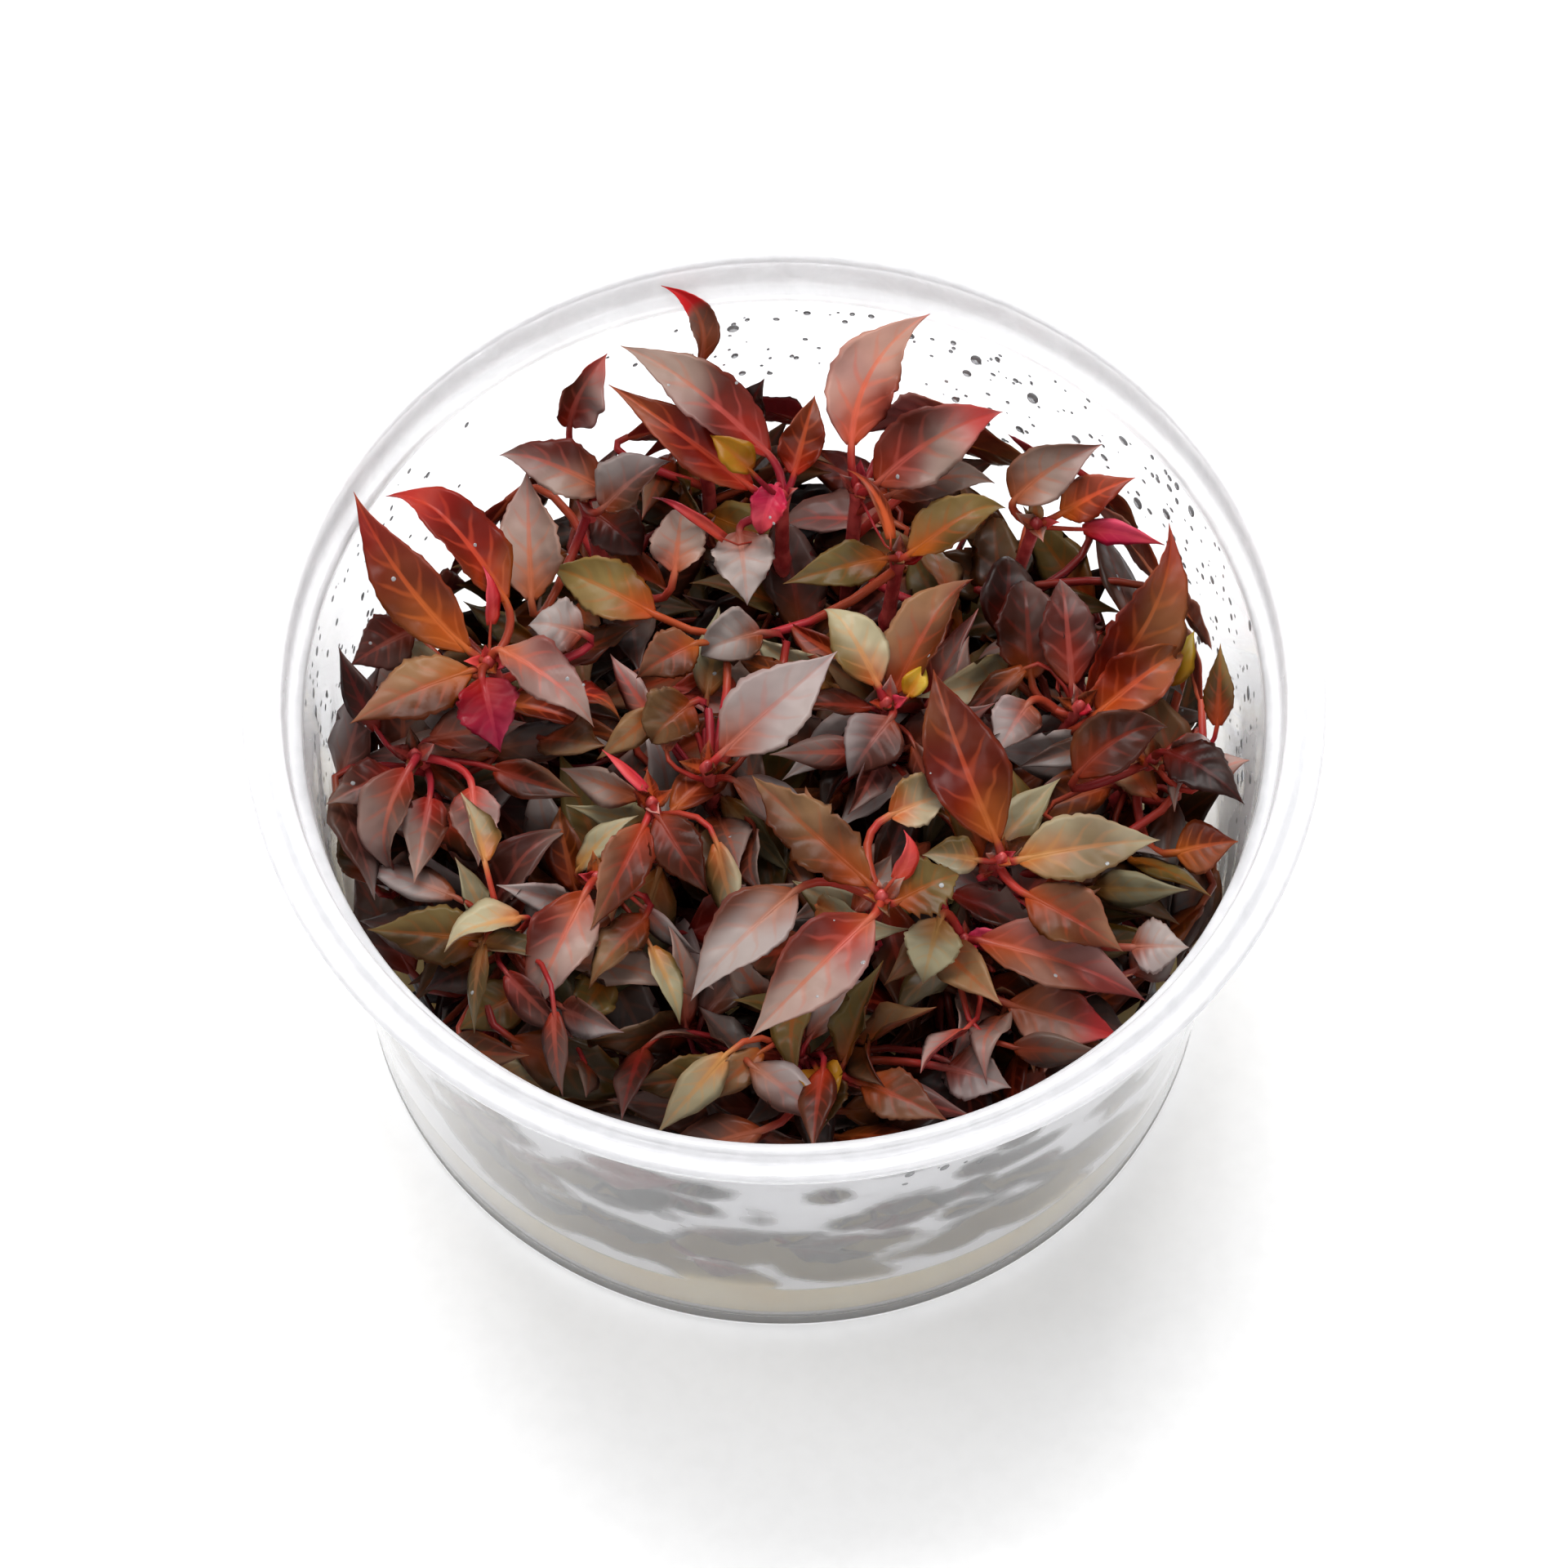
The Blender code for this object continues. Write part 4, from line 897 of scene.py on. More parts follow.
def other_wall_places(number, chance):
    """Places for one of the leaves that lie against the wall all round the cup."""
    angle = number * GOLDEN_ANGLE
    low, high = WALL_LEAF_HEIGHTS
    height = low + (high - low) * (number * GOLDEN_SHARE % 1.0)
    length = chance.uniform(*WALL_LEAF_LENGTHS)
    slope = chance.uniform(-WALL_LEAF_SLOPE, WALL_LEAF_SLOPE)
    bulge = length ** 2 / 8 / WALL_TOP_RADIUS
    for turn in WALL_TURNS:
        out = outward(angle + turn)
        around = Vector((-out.y, out.x, 0.0)) * (1 if number % 2 else -1)
        half = climbing(around, slope) * (length / 2)
        for inset in WALL_INSETS:
            centre = out * (inner_radius(height) - inset - bulge) + Vector((0.0, 0.0, height))
            yield Place(centre - half, centre + half, length * WALL_LEAF_WIDTH, out)


class Thicket:
    """Stems and leaves placed so far, with search trees and boxes, and the leaves fused to each stem."""

    def __init__(self):
        self.names = []
        self.trees = []
        self.lows = np.empty((0, 3))
        self.highs = np.empty((0, 3))
        self.fused = {plantlet: [] for plantlet in PLANTLETS}

    def add(self, name, shape):
        """Take in one more shape."""
        self.names.append(name)
        self.trees.append(tree_of(shape))
        self.lows = np.vstack([self.lows, np.min(shape.verts, axis=0)])
        self.highs = np.vstack([self.highs, np.max(shape.verts, axis=0)])

    def is_clear(self, shape, gap, own_stem):
        """Whether a shape lies in the cup with a gap to everything but its own stem."""
        if not inside_cup(shape):
            return False
        verts = swollen(shape, gap)
        low = np.min(verts, axis=0)
        high = np.max(verts, axis=0)
        near = np.all(self.lows < high, axis=1) & np.all(self.highs > low, axis=1)
        tree = BVHTree.FromPolygons(verts, shape.faces)
        for number in np.flatnonzero(near):
            if self.names[number] != own_stem and tree.overlap(self.trees[number]):
                return False
        return True

    def first_clear(self, name, leaves, detail, gap, own_stem=None):
        """The first leaf that is clear, taken in under that name, or None."""
        for leaf in leaves:
            shape = leaf_shape(leaf, detail)
            if self.is_clear(shape, gap, own_stem):
                self.add(name, shape)
                return leaf
        return None

    def grow(self, plantlet, leaves, kind, detail=SMALL_LEAF, gap=GAP):
        """Let the first clear leaf grow from a plantlet's stem, and say whether there was one."""
        leaf = self.first_clear("leaf", leaves, detail, gap, "stem_" + plantlet)
        if leaf:
            self.fused[plantlet].append(Grown(leaf, kind, detail is SMALL_LEAF))
        return leaf is not None

    def grow_near(self, places, kind, detail=SMALL_LEAF, gap=GAP):
        """Let a leaf grow from the nearest stem from which it reaches one of its places."""
        for plantlet in nearest_stems(places[0].neck):
            if self.grow(plantlet, [grown_leaf(plantlet, place) for place in places], kind, detail, gap):
                return


def plan_solid_leaves(thicket, kinds):
    """The leaves of the solids, in their order; gives the sighting and the leaf of each node's name."""
    for plantlet in PLANTLETS:
        thicket.add("stem_" + plantlet, stem_shape(plantlet))
    top_leaves = {}
    counts = {}
    for sighting in TOP_LEAVES:
        counts[sighting.plantlet] = counts.get(sighting.plantlet, 0) + 1
        name = "leaf_%s_%d" % (sighting.plantlet, counts[sighting.plantlet])
        choices = sighting_choices(sighting, STALK_CLEARANCE)
        top_leaves[name] = (sighting, thicket.first_clear(name, choices, FULL_LEAF, GAP))
    for sighting in TUCKED_LEAVES:
        thicket.grow(sighting.plantlet, sighting_choices(sighting, -STEM_TIP_RADIUS), sighting.kind)
    for seen, kind in zip(WALL_LEAVES, SEEN_WALL_KINDS):
        thicket.grow_near(list(seen_wall_places(*seen)), kind)
    chance = random.Random(SEED + 1)
    for number in range(WALL_LEAF_COUNT):
        thicket.grow_near(list(other_wall_places(number, chance)), kinds.choice(WALL_KINDS))
    chance = random.Random(SEED)
    for plantlet in PLANTLETS:
        height = PLANTLETS[plantlet][1] - GEL_TOP
        for level in range(1, int(height / NODE_SPACING) + 1):
            for side in (0, 1):
                choices = list(small_leaf_choices(plantlet, level, side, chance))
                thicket.grow(plantlet, choices, kinds.choice(INNER_KINDS))
    return top_leaves


def layer_spots():
    """Spots and lengths of the leaves that fill the cup out, from the top down, fewer at the back's top."""
    for layer, (height, lengths) in enumerate(LAYERS):
        reach = inner_radius(height) - LAYER_INSET
        count = int((reach / LAYER_SPACING) ** 2 * math.pi)
        for number in range(count):
            radius = reach * math.sqrt((number + 0.5) / count)
            angle = number * GOLDEN_ANGLE + layer
            spot = Vector((radius * math.cos(angle), radius * math.sin(angle), height))
            if height < OPEN_BACK_HEIGHT or spot.y < OPEN_BACK_DEPTH:
                yield spot, lengths


def jitter(chance, amount):
    """A number between minus an amount and that amount."""
    return chance.uniform(-amount, amount)


def layer_places(spot, lengths, chance):
    """Ways that a leaf can lie at one of those spots."""
    length = chance.uniform(*lengths)
    half_width = length * chance.uniform(*LAYER_WIDTHS)
    pitch = chance.uniform(*LAYER_PITCHES)
    lean = Vector((jitter(chance, LAYER_LEAN), jitter(chance, LAYER_LEAN), 0.0))
    shift = Vector([jitter(chance, LAYER_JITTER) for _ in range(3)])
    stem = upper_stem_point(nearest_stems(spot)[0], spot.z)
    away = math.atan2(spot.y - stem.y, spot.x - stem.x) + jitter(chance, LAYER_SWING)
    for drop in LAYER_DROPS:
        centre = spot + shift + Vector((0.0, 0.0, drop))
        for turn in LAYER_TURNS:
            half = climbing(outward(away + turn), pitch) * (length / 2)
            yield Place(centre - half, centre + half, half_width, LEAF_FACE + lean)


def young_leaves(plantlet, chance):
    """The small upright pairs around the bud at a stem's top."""
    _, top = stem_ends(plantlet)
    for number in range(YOUNG_LEAVES):
        angle = number * math.pi / 2 * YOUNG_SPREAD + jitter(chance, YOUNG_SWING)
        pitch = chance.uniform(*YOUNG_PITCHES)
        length = chance.uniform(*YOUNG_LENGTHS)
        way = climbing(outward(angle), pitch)
        middle = top - Vector((0.0, 0.0, YOUNG_DEPTH))
        tip = middle + way * length
        if tip.z < CUP_HEIGHT - 1.0:
            neck = middle + way * (YOUNG_START * length)
            yield Leaf(middle, neck, tip, length * YOUNG_WIDTH, 0.0, YOUNG_ARCH, 0.0)


def plan_plants():
    """Leaf of every top leaf by its node's name, and the leaves that grow fused to each stem."""
    thicket = Thicket()
    kinds = random.Random(SEED + 4)
    chance = random.Random(SEED + 5)
    top_leaves = plan_solid_leaves(thicket, kinds)
    for sighting in MORE_LEAVES:
        choices = sighting_choices(sighting, -STEM_TIP_RADIUS)
        thicket.grow(sighting.plantlet, choices, sighting.kind, BLADE_ONLY, 0.0)
    for spot, lengths in layer_spots():
        kind = kinds.choice(UPPER_KINDS if spot.z > UPPER_HEIGHT else INNER_KINDS)
        thicket.grow_near(list(layer_places(spot, lengths, chance)), kind, BLADE_ONLY, 0.0)
    for plantlet in PLANTLETS:
        for leaf in young_leaves(plantlet, chance):
            thicket.fused[plantlet].append(Grown(leaf, kinds.choice(YOUNG_KINDS), False))
    return top_leaves, thicket.fused


class Surface:
    """Points, faces and marks gathered for one mesh."""

    def __init__(self):
        self.points = []
        self.marks = []
        self.traits = []
        self.faces = []
        self.kinds = []
        self.count = 0

    def add_rings(self, rings, marks, traits, kind):
        """Closed tube of rings, an array of steps by corners by 3, with marks and traits of its points."""
        steps, corners, _ = rings.shape
        self.points.append(rings.reshape(-1, 3))
        self.marks.append(marks.reshape(-1, 3))
        self.traits.append((np.zeros(rings.shape) + traits).reshape(-1, 3))
        corner = np.arange(corners)
        after = (corner + 1) % corners
        low = self.count + np.arange(steps - 1)[:, None] * corners
        quads = np.stack([low + corner, low + after, low + corners + after, low + corners + corner], axis=2)
        self.faces.extend(quads.reshape(-1, 4).tolist())
        first = list(range(self.count, self.count + corners))
        self.faces.append(first[::-1])
        self.faces.append([i + (steps - 1) * corners for i in first])
        self.kinds.extend([kind] * ((steps - 1) * corners + 2))
        self.count += steps * corners

    def make(self, name, materials):
        """Object of that name, with one material for each kind that it has."""
        mesh = bpy.data.meshes.new(name)
        mesh.from_pydata((np.concatenate(self.points) * MM).tolist(), [], self.faces)
        used = sorted(set(self.kinds))
        for kind in used:
            mesh.materials.append(materials[kind])
        mesh.polygons.foreach_set("material_index", [used.index(kind) for kind in self.kinds])
        for title, values in (("mark", self.marks), ("trait", self.traits)):
            layer = mesh.attributes.new(title, "FLOAT_VECTOR", "POINT")
            layer.data.foreach_set("vector", np.concatenate(values).ravel())
        mesh.shade_smooth()
        return link_object(name, mesh)


def link_object(name, mesh):
    """Object of that name in the scene."""
    thing = bpy.data.objects.new(name, mesh)
    bpy.context.scene.collection.objects.link(thing)
    return thing


def unit(vectors):
    """Each vector at length one."""
    return vectors / np.linalg.norm(vectors, axis=-1, keepdims=True)


def curve(a, b, c, shares):
    """Points of a curve with three control points, as an array."""
    t = shares[:, None]
    return np.array(a) * (1 - t) ** 2 + np.array(b) * (2 * t * (1 - t)) + np.array(c) * t ** 2


def moving_frame(points, right):
    """Tangent, sideways and upward directions along a line of points."""
    tangent = unit(np.gradient(points, axis=0))
    across = unit(right - tangent * (tangent @ right)[:, None])
    return tangent, across, np.cross(across, tangent)


def beside_wall(leaf):
    """Whether a leaf lies close to the cup's wall."""
    return any(math.hypot(end.x, end.y) > inner_radius(end.z) - WALL_REACH for end in (leaf.neck, leaf.tip))


def some_habit(leaf, chance):
    """How one of the many leaves has grown: nearly flat beside the wall, otherwise folded and curled."""
    ragged = chance.uniform(*RAGGED)
    light = chance.random()
    if beside_wall(leaf):
        return Habit(0.0, chance.uniform(*WALL_FOLDS), 0.0, ragged, 0.0, light)
    curl = chance.uniform(*CURLS)
    fold = chance.uniform(*FOLDS)
    return Habit(curl, fold, chance.uniform(*TWISTS), ragged, 0.0, light)


def blade_line(leaf, habit, share):
    """Middle line of a blade, its tip curled, and its sideways direction."""
    length = (leaf.tip - leaf.neck).length
    hook = (np.maximum(share - HOOK_START, 0.0) / HOOK_LENGTH)[:, None] ** 2
    pull = np.array(leaf.tip - leaf.neck) / length * abs(habit.curl) * HOOK_PULL
    curl = np.array(leaf_up(leaf)) * habit.curl - pull
    line = curve(leaf.neck, leaf_crown(leaf), leaf.tip, share)
    return line + curl * hook * length, np.array(leaf_right(leaf))


def vein_phase(share, side):
    """Counts the side veins: a whole number lies on each, curving forward towards the margin."""
    return VEIN_PAIRS * (share - VEIN_SWEEP * abs(side) ** VEIN_CURVE * (1 - VEIN_CLOSING * share))


def blade_rise(habit, chance, share, side, width):
    """Height of a blade above its middle line: fold, wavy margin, puffed areas and grooved midrib."""
    size = np.abs(side)
    left = side < 0
    fold = habit.fold * np.where(left, chance.uniform(*HALF_FOLDS), chance.uniform(*HALF_FOLDS))
    waves = chance.uniform(*WAVES)
    phase = np.where(left, chance.uniform(0, 1), chance.uniform(0, 1))
    swing = min(1.0, habit.fold / CALM_FOLD) * chance.uniform(*WAVE_SWING)
    swing = swing * np.sin(2 * np.pi * (waves * share + phase)) * np.sin(np.pi * share ** 0.7)
    droop = chance.uniform(*DROOPS)
    reach = side * width
    puff = PUFF * np.minimum(width / WIDE_LEAF, 1.0) * (1 - size ** 4)
    puff = puff * (1 - np.exp(-((reach / PUFF_START) ** 2))) * np.cos(2 * np.pi * vein_phase(share, side))
    groove = GROOVE * np.exp(-((reach / GROOVE_REACH) ** 2))
    return width * (fold * size ** 1.6 + swing * size ** 2.2 - droop * size ** 2 * share) - puff - groove


def add_blade(surface, leaf, kind, habit, chance, rows, columns):
    """Thin closed blade; gives its middle line, its sections' shares and its sideways direction."""
    share = np.linspace(0.0, 1.0, rows)
    centre, right = blade_line(leaf, habit, share)
    _, across, lift = moving_frame(centre, right)
    twist = (habit.twist * (share - TWIST_CENTRE))[:, None]
    across, lift = (across * np.cos(twist) + lift * np.sin(twist),
                    lift * np.cos(twist) - across * np.sin(twist))
    s = share[:, None]
    outline = np.maximum(np.sin(np.pi * s ** OUTLINE_LEAN), 0.0) ** OUTLINE_POINT
    width = leaf.half_width * outline + STALK_HALF_WIDTH * (1 - s) ** 4 + TIP_HALF_WIDTH
    side = np.linspace(-1.0, 1.0, columns)[None, :]
    side = np.sign(side) * np.abs(side) ** MARGIN_CROWDING
    rise = blade_rise(habit, chance, s, side, width)
    phase = 0.3 * np.sign(side)
    teeth = sum(np.sin(2 * np.pi * (turns * s + chance.random() + phase)) / 2 for turns in TEETH)
    size = np.abs(side)
    edge = 1 + habit.ragged * teeth * size ** 3
    half = MARGIN_THICKNESS / 2 + (MIDDLE_THICKNESS - MARGIN_THICKNESS) / 2 * (1 - size ** 2)
    half = np.minimum(half * np.ones_like(width), width * 0.5)
    flat = centre[:, None, :] + across[:, None, :] * (side * width * edge)[:, :, None]
    top = flat + lift[:, None, :] * (rise + half)[:, :, None]
    bottom = flat + lift[:, None, :] * (rise - half)[:, :, None]
    middle = (top + bottom) / 2
    rings = np.concatenate([middle[:, :1], top[:, 1:-1], middle[:, -1:], bottom[:, -2:0:-1]], axis=1)
    marks = np.stack(np.broadcast_arrays(side, s, side * width), axis=2)
    marks = np.concatenate([marks, marks[:, -2:0:-1]], axis=1)
    upper = np.concatenate([[0.5], np.ones(columns - 2), [0.5], np.zeros(columns - 2)])
    traits = np.array([[habit.light, habit.red_tip, value] for value in upper])
    surface.add_rings(rings, marks, traits, kind)
    return centre, share, right


def add_stalk(surface, leaf, kind, habit, blade, knots, sides):
    """Leaf stalk that goes on as the tapering midrib under its blade."""
    centre, share, right = blade
    start = unit(centre[1] - centre[0])
    knee = np.array(leaf.neck) - start * (leaf.neck - leaf.root).length / 2
    steps = np.linspace(0.0, 1.0, knots + 1)[:-1]
    last = int(len(share) * MIDRIB_END)
    thick = STALK_RADIUS * min(1.0, leaf.half_width / WIDE_LEAF + 0.1)
    stalk = thick * (STALK_ROOT - STALK_TAPER * steps)
    midrib = thick * MIDRIB_ROOT * (1 - share[:last] / 1.02) ** 1.2
    radius = np.concatenate([stalk, midrib])
    below = np.concatenate([np.zeros(knots), MIDRIB_DEPTH * midrib * np.minimum(share[:last] * 12, 1.0)])
    points = np.concatenate([curve(leaf.root, knee, leaf.neck, steps), centre[:last]])
    _, across, up = moving_frame(points, right)
    points = points - up * below[:, None]
    angle = np.linspace(0, 2 * np.pi, sides, endpoint=False)
    ring = -across[:, None, :] * np.cos(angle)[None, :, None] + up[:, None, :] * np.sin(angle)[None, :, None]
    rings = points[:, None, :] + ring * radius[:, None, None]
    marks = np.zeros(rings.shape)
    marks[:, :, 1] = np.concatenate([steps - 1.0, share[:last]])[:, None]
    surface.add_rings(rings, marks, (habit.light, habit.red_tip, 1.0), kind)


def add_leaf(surface, leaf, kind, habit, chance, fine):
    """One leaf: its blade, and its stalk with the midrib."""
    blade = add_blade(surface, leaf, kind, habit, chance, *(FINE_LEAF if fine else COARSE_LEAF))
    add_stalk(surface, leaf, kind, habit, blade, *(FINE_STALK if fine else COARSE_STALK))


def add_stem(surface, plantlet, chance):
    """Tapered stem with a swollen joint where each pair of leaves grows."""
    root, top = stem_ends(plantlet)
    heights = np.linspace(root.z, top.z, STEM_RINGS)
    points = np.array([stem_point(plantlet, z) for z in heights])
    radius = np.array([stem_radius(plantlet, z) for z in heights])
    level = ((top.z - heights) / JOINT_SPACING + 0.5) % 1.0 - 0.5
    radius = radius * (STEM_SLIMNESS + JOINT_SWELLING * np.exp(-((level * JOINT_SPACING / JOINT_WIDTH) ** 2)))
    angle = np.linspace(0, 2 * np.pi, STEM_FACETS, endpoint=False)
    ridge = 1 + RIDGE_HEIGHT * np.cos(STEM_RIDGES * angle)
    ring = np.stack([np.cos(angle) * ridge, np.sin(angle) * ridge, np.zeros(STEM_FACETS)], axis=1)
    rings = points[:, None, :] + ring[None, :, :] * radius[:, None, None]
    marks = np.zeros(rings.shape)
    marks[:, :, 1] = ((heights - root.z) / (top.z - root.z))[:, None]
    for size, lift in BUD_RINGS:
        rings = np.concatenate([rings, (points[-1] + ring * (radius[-1] * size) + [0, 0, lift])[None]])
        marks = np.concatenate([marks, marks[-1:]])
    surface.add_rings(rings, marks, (chance.random(), 0.0, 1.0), "stem")


class Nodes:
    """Short hand for the node tree of one material."""

    def __init__(self, name):
        self.material = bpy.data.materials.new(name)
        self.material.use_nodes = True
        self.tree = self.material.node_tree
        self.shader = self.tree.nodes["Principled BSDF"]
        self.shader.inputs["Metallic"].default_value = 0.0

    def add(self, kind, **settings):
        """New node of a kind, with its settings."""
        node = self.tree.nodes.new("ShaderNode" + kind)
        for key, value in settings.items():
            setattr(node, key, value)
        return node

    def put(self, socket, value):
        """Set a socket to a value, or link an output to it."""
        if isinstance(value, bpy.types.NodeSocket):
            self.tree.links.new(value, socket)
        elif isinstance(value, tuple) and len(value) == 3 and socket.type == "RGBA":
            socket.default_value = (*value, 1.0)
        else:
            socket.default_value = value

    def math(self, operation, a, b=0.0, clamp=False):
        """Result of a sum on one or two values."""
        node = self.add("Math", operation=operation, use_clamp=clamp)
        self.put(node.inputs[0], a)
        self.put(node.inputs[1], b)
        return node.outputs[0]

    def times(self, a, b):
        """Product of two values."""
        return self.math("MULTIPLY", a, b)

    def plus(self, a, b):
        """Sum of two values."""
        return self.math("ADD", a, b)

    def minus(self, a, b):
        """One value less another."""
        return self.math("SUBTRACT", a, b)

    def size(self, a):
        """A value without its sign."""
        return self.math("ABSOLUTE", a)

    def ramp(self, value, low, high, start=0.0, end=1.0):
        """Smooth step of a value from one level to another."""
        node = self.add("MapRange", interpolation_type="SMOOTHSTEP")
        inputs = {"Value": value, "From Min": low, "From Max": high, "To Min": start, "To Max": end}
        for key, given in inputs.items():
            self.put(node.inputs[key], given)
        return node.outputs["Result"]

    def mix(self, share, a, b):
        """Blend of two colours."""
        node = self.add("Mix", data_type="RGBA")
        self.put(node.inputs["Factor"], share)
        self.put(node.inputs["A"], a)
        self.put(node.inputs["B"], b)
        return node.outputs["Result"]

    def place(self):
        """Place on the object."""
        return self.add("TexCoord").outputs["Object"]

    def noise(self, scale, detail=2.0, distortion=0.0):
        """Noise at a scale counted in features for each metre."""
        node = self.add("TexNoise")
        self.put(node.inputs["Vector"], self.place())
        self.put(node.inputs["Scale"], scale)
        self.put(node.inputs["Detail"], detail)
        self.put(node.inputs["Distortion"], distortion)
        return node.outputs["Fac"]

    def parts(self, vector):
        """The three parts of a vector."""
        node = self.add("SeparateXYZ")
        self.put(node.inputs[0], vector)
        return node.outputs

    def attribute(self, name):
        """Attribute node of a mesh."""
        return self.add("Attribute", attribute_name=name)

    def set(self, **values):
        """Set the shader's sockets; an underscore in a name stands for a space."""
        for key, value in values.items():
            self.put(self.shader.inputs[key.replace("_", " ")], value)

    def bump(self, height, strength, distance):
        """Relief on the shader from a height."""
        node = self.add("Bump")
        self.put(node.inputs["Height"], height)
        self.put(node.inputs["Strength"], strength)
        self.put(node.inputs["Distance"], distance)
        self.put(self.shader.inputs["Normal"], node.outputs["Normal"])


def vein_nodes(nodes, across, along, reach, fleck):
    """Masks of the midrib and of the side veins."""
    taper = nodes.ramp(along, *MIDRIB_REACH)
    midrib = nodes.ramp(nodes.math("DIVIDE", nodes.size(reach), taper), *MIDRIB_EDGE)
    size = nodes.size(across)
    lean = nodes.times(nodes.math("POWER", size, VEIN_CURVE), VEIN_SWEEP)
    lean = nodes.times(lean, nodes.minus(1.0, nodes.times(along, VEIN_CLOSING)))
    phase = nodes.times(nodes.minus(along, lean), VEIN_PAIRS)
    wobble = nodes.times(nodes.minus(fleck, 0.5), VEIN_WOBBLE)
    phase = nodes.plus(nodes.plus(phase, wobble), 0.5)
    part = nodes.size(nodes.minus(nodes.math("FRACT", phase), 0.5))
    side = nodes.ramp(nodes.math("DIVIDE", part, nodes.ramp(size, *VEIN_REACH)), *VEIN_EDGE)
    side = nodes.times(side, nodes.ramp(size, *VEIN_MARGIN_END))
    return midrib, nodes.times(side, nodes.ramp(along, *VEIN_TIP_END))


def painted_sheen_patches(nodes, look, across, along, light, cloud):
    """Where the pale painted sheen lies on a blade: softly, more on one half and towards the tip."""
    lean = nodes.minus(nodes.math("FRACT", nodes.times(light, SHEEN_DRAW)), 0.5)
    cloud = nodes.plus(cloud, nodes.times(nodes.times(lean, across), SHEEN_LEAN))
    cloud = nodes.plus(cloud, nodes.times(nodes.minus(along, SHEEN_CENTRE), SHEEN_TIPWARD))
    cloud = nodes.plus(cloud, nodes.times(nodes.minus(light, 0.5), SHEEN_BY_LIGHTNESS))
    return nodes.ramp(nodes.plus(cloud, look.spread), *SHEEN_EDGE)


def daylight(nodes):
    """How much light a place in the cup gets, from 0 to 1: less low down and behind the front wall."""
    _, depth, height = nodes.parts(nodes.place())
    return nodes.ramp(nodes.plus(height, nodes.times(depth, BACK_LIFT)), *(z * MM for z in SHADED_HEIGHTS))


def leaf_colour(nodes, look, marks, traits, cloud, fleck):
    """Colour of a leaf: painted sheen, warm foot, veins, stalk, underside, and painted shade low in the cup.
    """
    across, along, reach = marks
    light, red_tip, upper = traits
    midrib, side = vein_nodes(nodes, across, along, reach, fleck)
    day = daylight(nodes)
    size = nodes.size(across)
    bloom = painted_sheen_patches(nodes, look, across, along, light, cloud)
    # Painted sheen, fainter where the painted shade low in the cup is deeper
    bloom = nodes.times(bloom, nodes.ramp(day, *SHEEN_BY_DAY))
    colour = nodes.mix(bloom, look.blade, look.bloom)
    spread = nodes.plus(nodes.plus(along, nodes.times(fleck, FOOT_FLECKS)), nodes.times(size, FOOT_CURVE))
    colour = nodes.mix(nodes.ramp(spread, *FOOT_TINT), colour, look.foot)
    fading = nodes.ramp(along, *VEIN_FADING)
    colour = nodes.mix(nodes.times(nodes.times(side, fading), look.veins * VEIN_STRENGTH), colour, look.vein)
    strength = min(1.0, look.veins * MIDRIB_STRENGTH)
    colour = nodes.mix(nodes.times(nodes.times(midrib, fading), strength), colour, look.vein)
    colour = nodes.mix(nodes.ramp(size, *MARGIN_TINT), colour, look.vein)
    colour = nodes.mix(nodes.ramp(upper, *UNDERSIDE_TINT), colour, UNDERSIDE)
    colour = nodes.mix(nodes.ramp(along, *STALK_TINT), colour, CRIMSON)
    value = nodes.add("HueSaturation")
    nodes.put(value.inputs["Color"], colour)
    nodes.put(value.inputs["Hue"], nodes.ramp(cloud, *HUE_DRIFT))
    # Painted shade low in the cup, times the leaf's own lightness
    shade = nodes.ramp(day, 0.0, 1.0, DEEPEST_SHADE, 1.0)
    nodes.put(value.inputs["Value"], nodes.times(shade, nodes.ramp(light, *LIGHTNESS)))
    red = nodes.times(nodes.ramp(along, *RED_TIP_TINT), red_tip)
    return nodes.mix(red, value.outputs["Color"], RED_TIP)


def leaf_material(kind):
    """Leaf that lets a little light through."""
    nodes = Nodes("leaf_" + kind)
    marks = nodes.parts(nodes.attribute("mark").outputs["Vector"])
    traits = nodes.parts(nodes.attribute("trait").outputs["Vector"])
    cloud = nodes.noise(*LEAF_CLOUDS)
    fleck = nodes.noise(*LEAF_FLECKS)
    colour = leaf_colour(nodes, LEAF_LOOKS[kind], marks, traits, cloud, fleck)
    rough = nodes.ramp(fleck, *LEAF_ROUGHNESS)
    nodes.set(Base_Color=colour, Roughness=rough, IOR=1.45, Specular_IOR_Level=0.2)
    nodes.bump(fleck, 0.7, 0.0006)
    glow = nodes.add("BsdfTranslucent")
    nodes.put(glow.inputs["Color"], colour)
    blend = nodes.add("MixShader")
    nodes.put(blend.inputs[0], LEAF_TRANSLUCENCE)
    nodes.put(blend.inputs[1], nodes.shader.outputs["BSDF"])
    nodes.put(blend.inputs[2], glow.outputs["BSDF"])
    nodes.put(nodes.tree.nodes["Material Output"].inputs["Surface"], blend.outputs[0])
    return nodes.material


def stem_material():
    """Juicy red stem, streaked along its length and darker near the gel."""
    nodes = Nodes("stem")
    along = nodes.parts(nodes.attribute("mark").outputs["Vector"])[1]
    streak = nodes.ramp(nodes.noise(*STEM_STREAKS), 0.35, 0.65)
    colour = nodes.mix(streak, STEM_RED, STEM_STREAK)
    colour = nodes.mix(nodes.ramp(along, *STEM_FOOT_TINT), colour, STEM_FOOT)
    nodes.set(Base_Color=colour, Roughness=0.36, IOR=1.45)
    nodes.bump(nodes.noise(*STEM_GRAIN), 0.35, 0.0001)
    return nodes.material


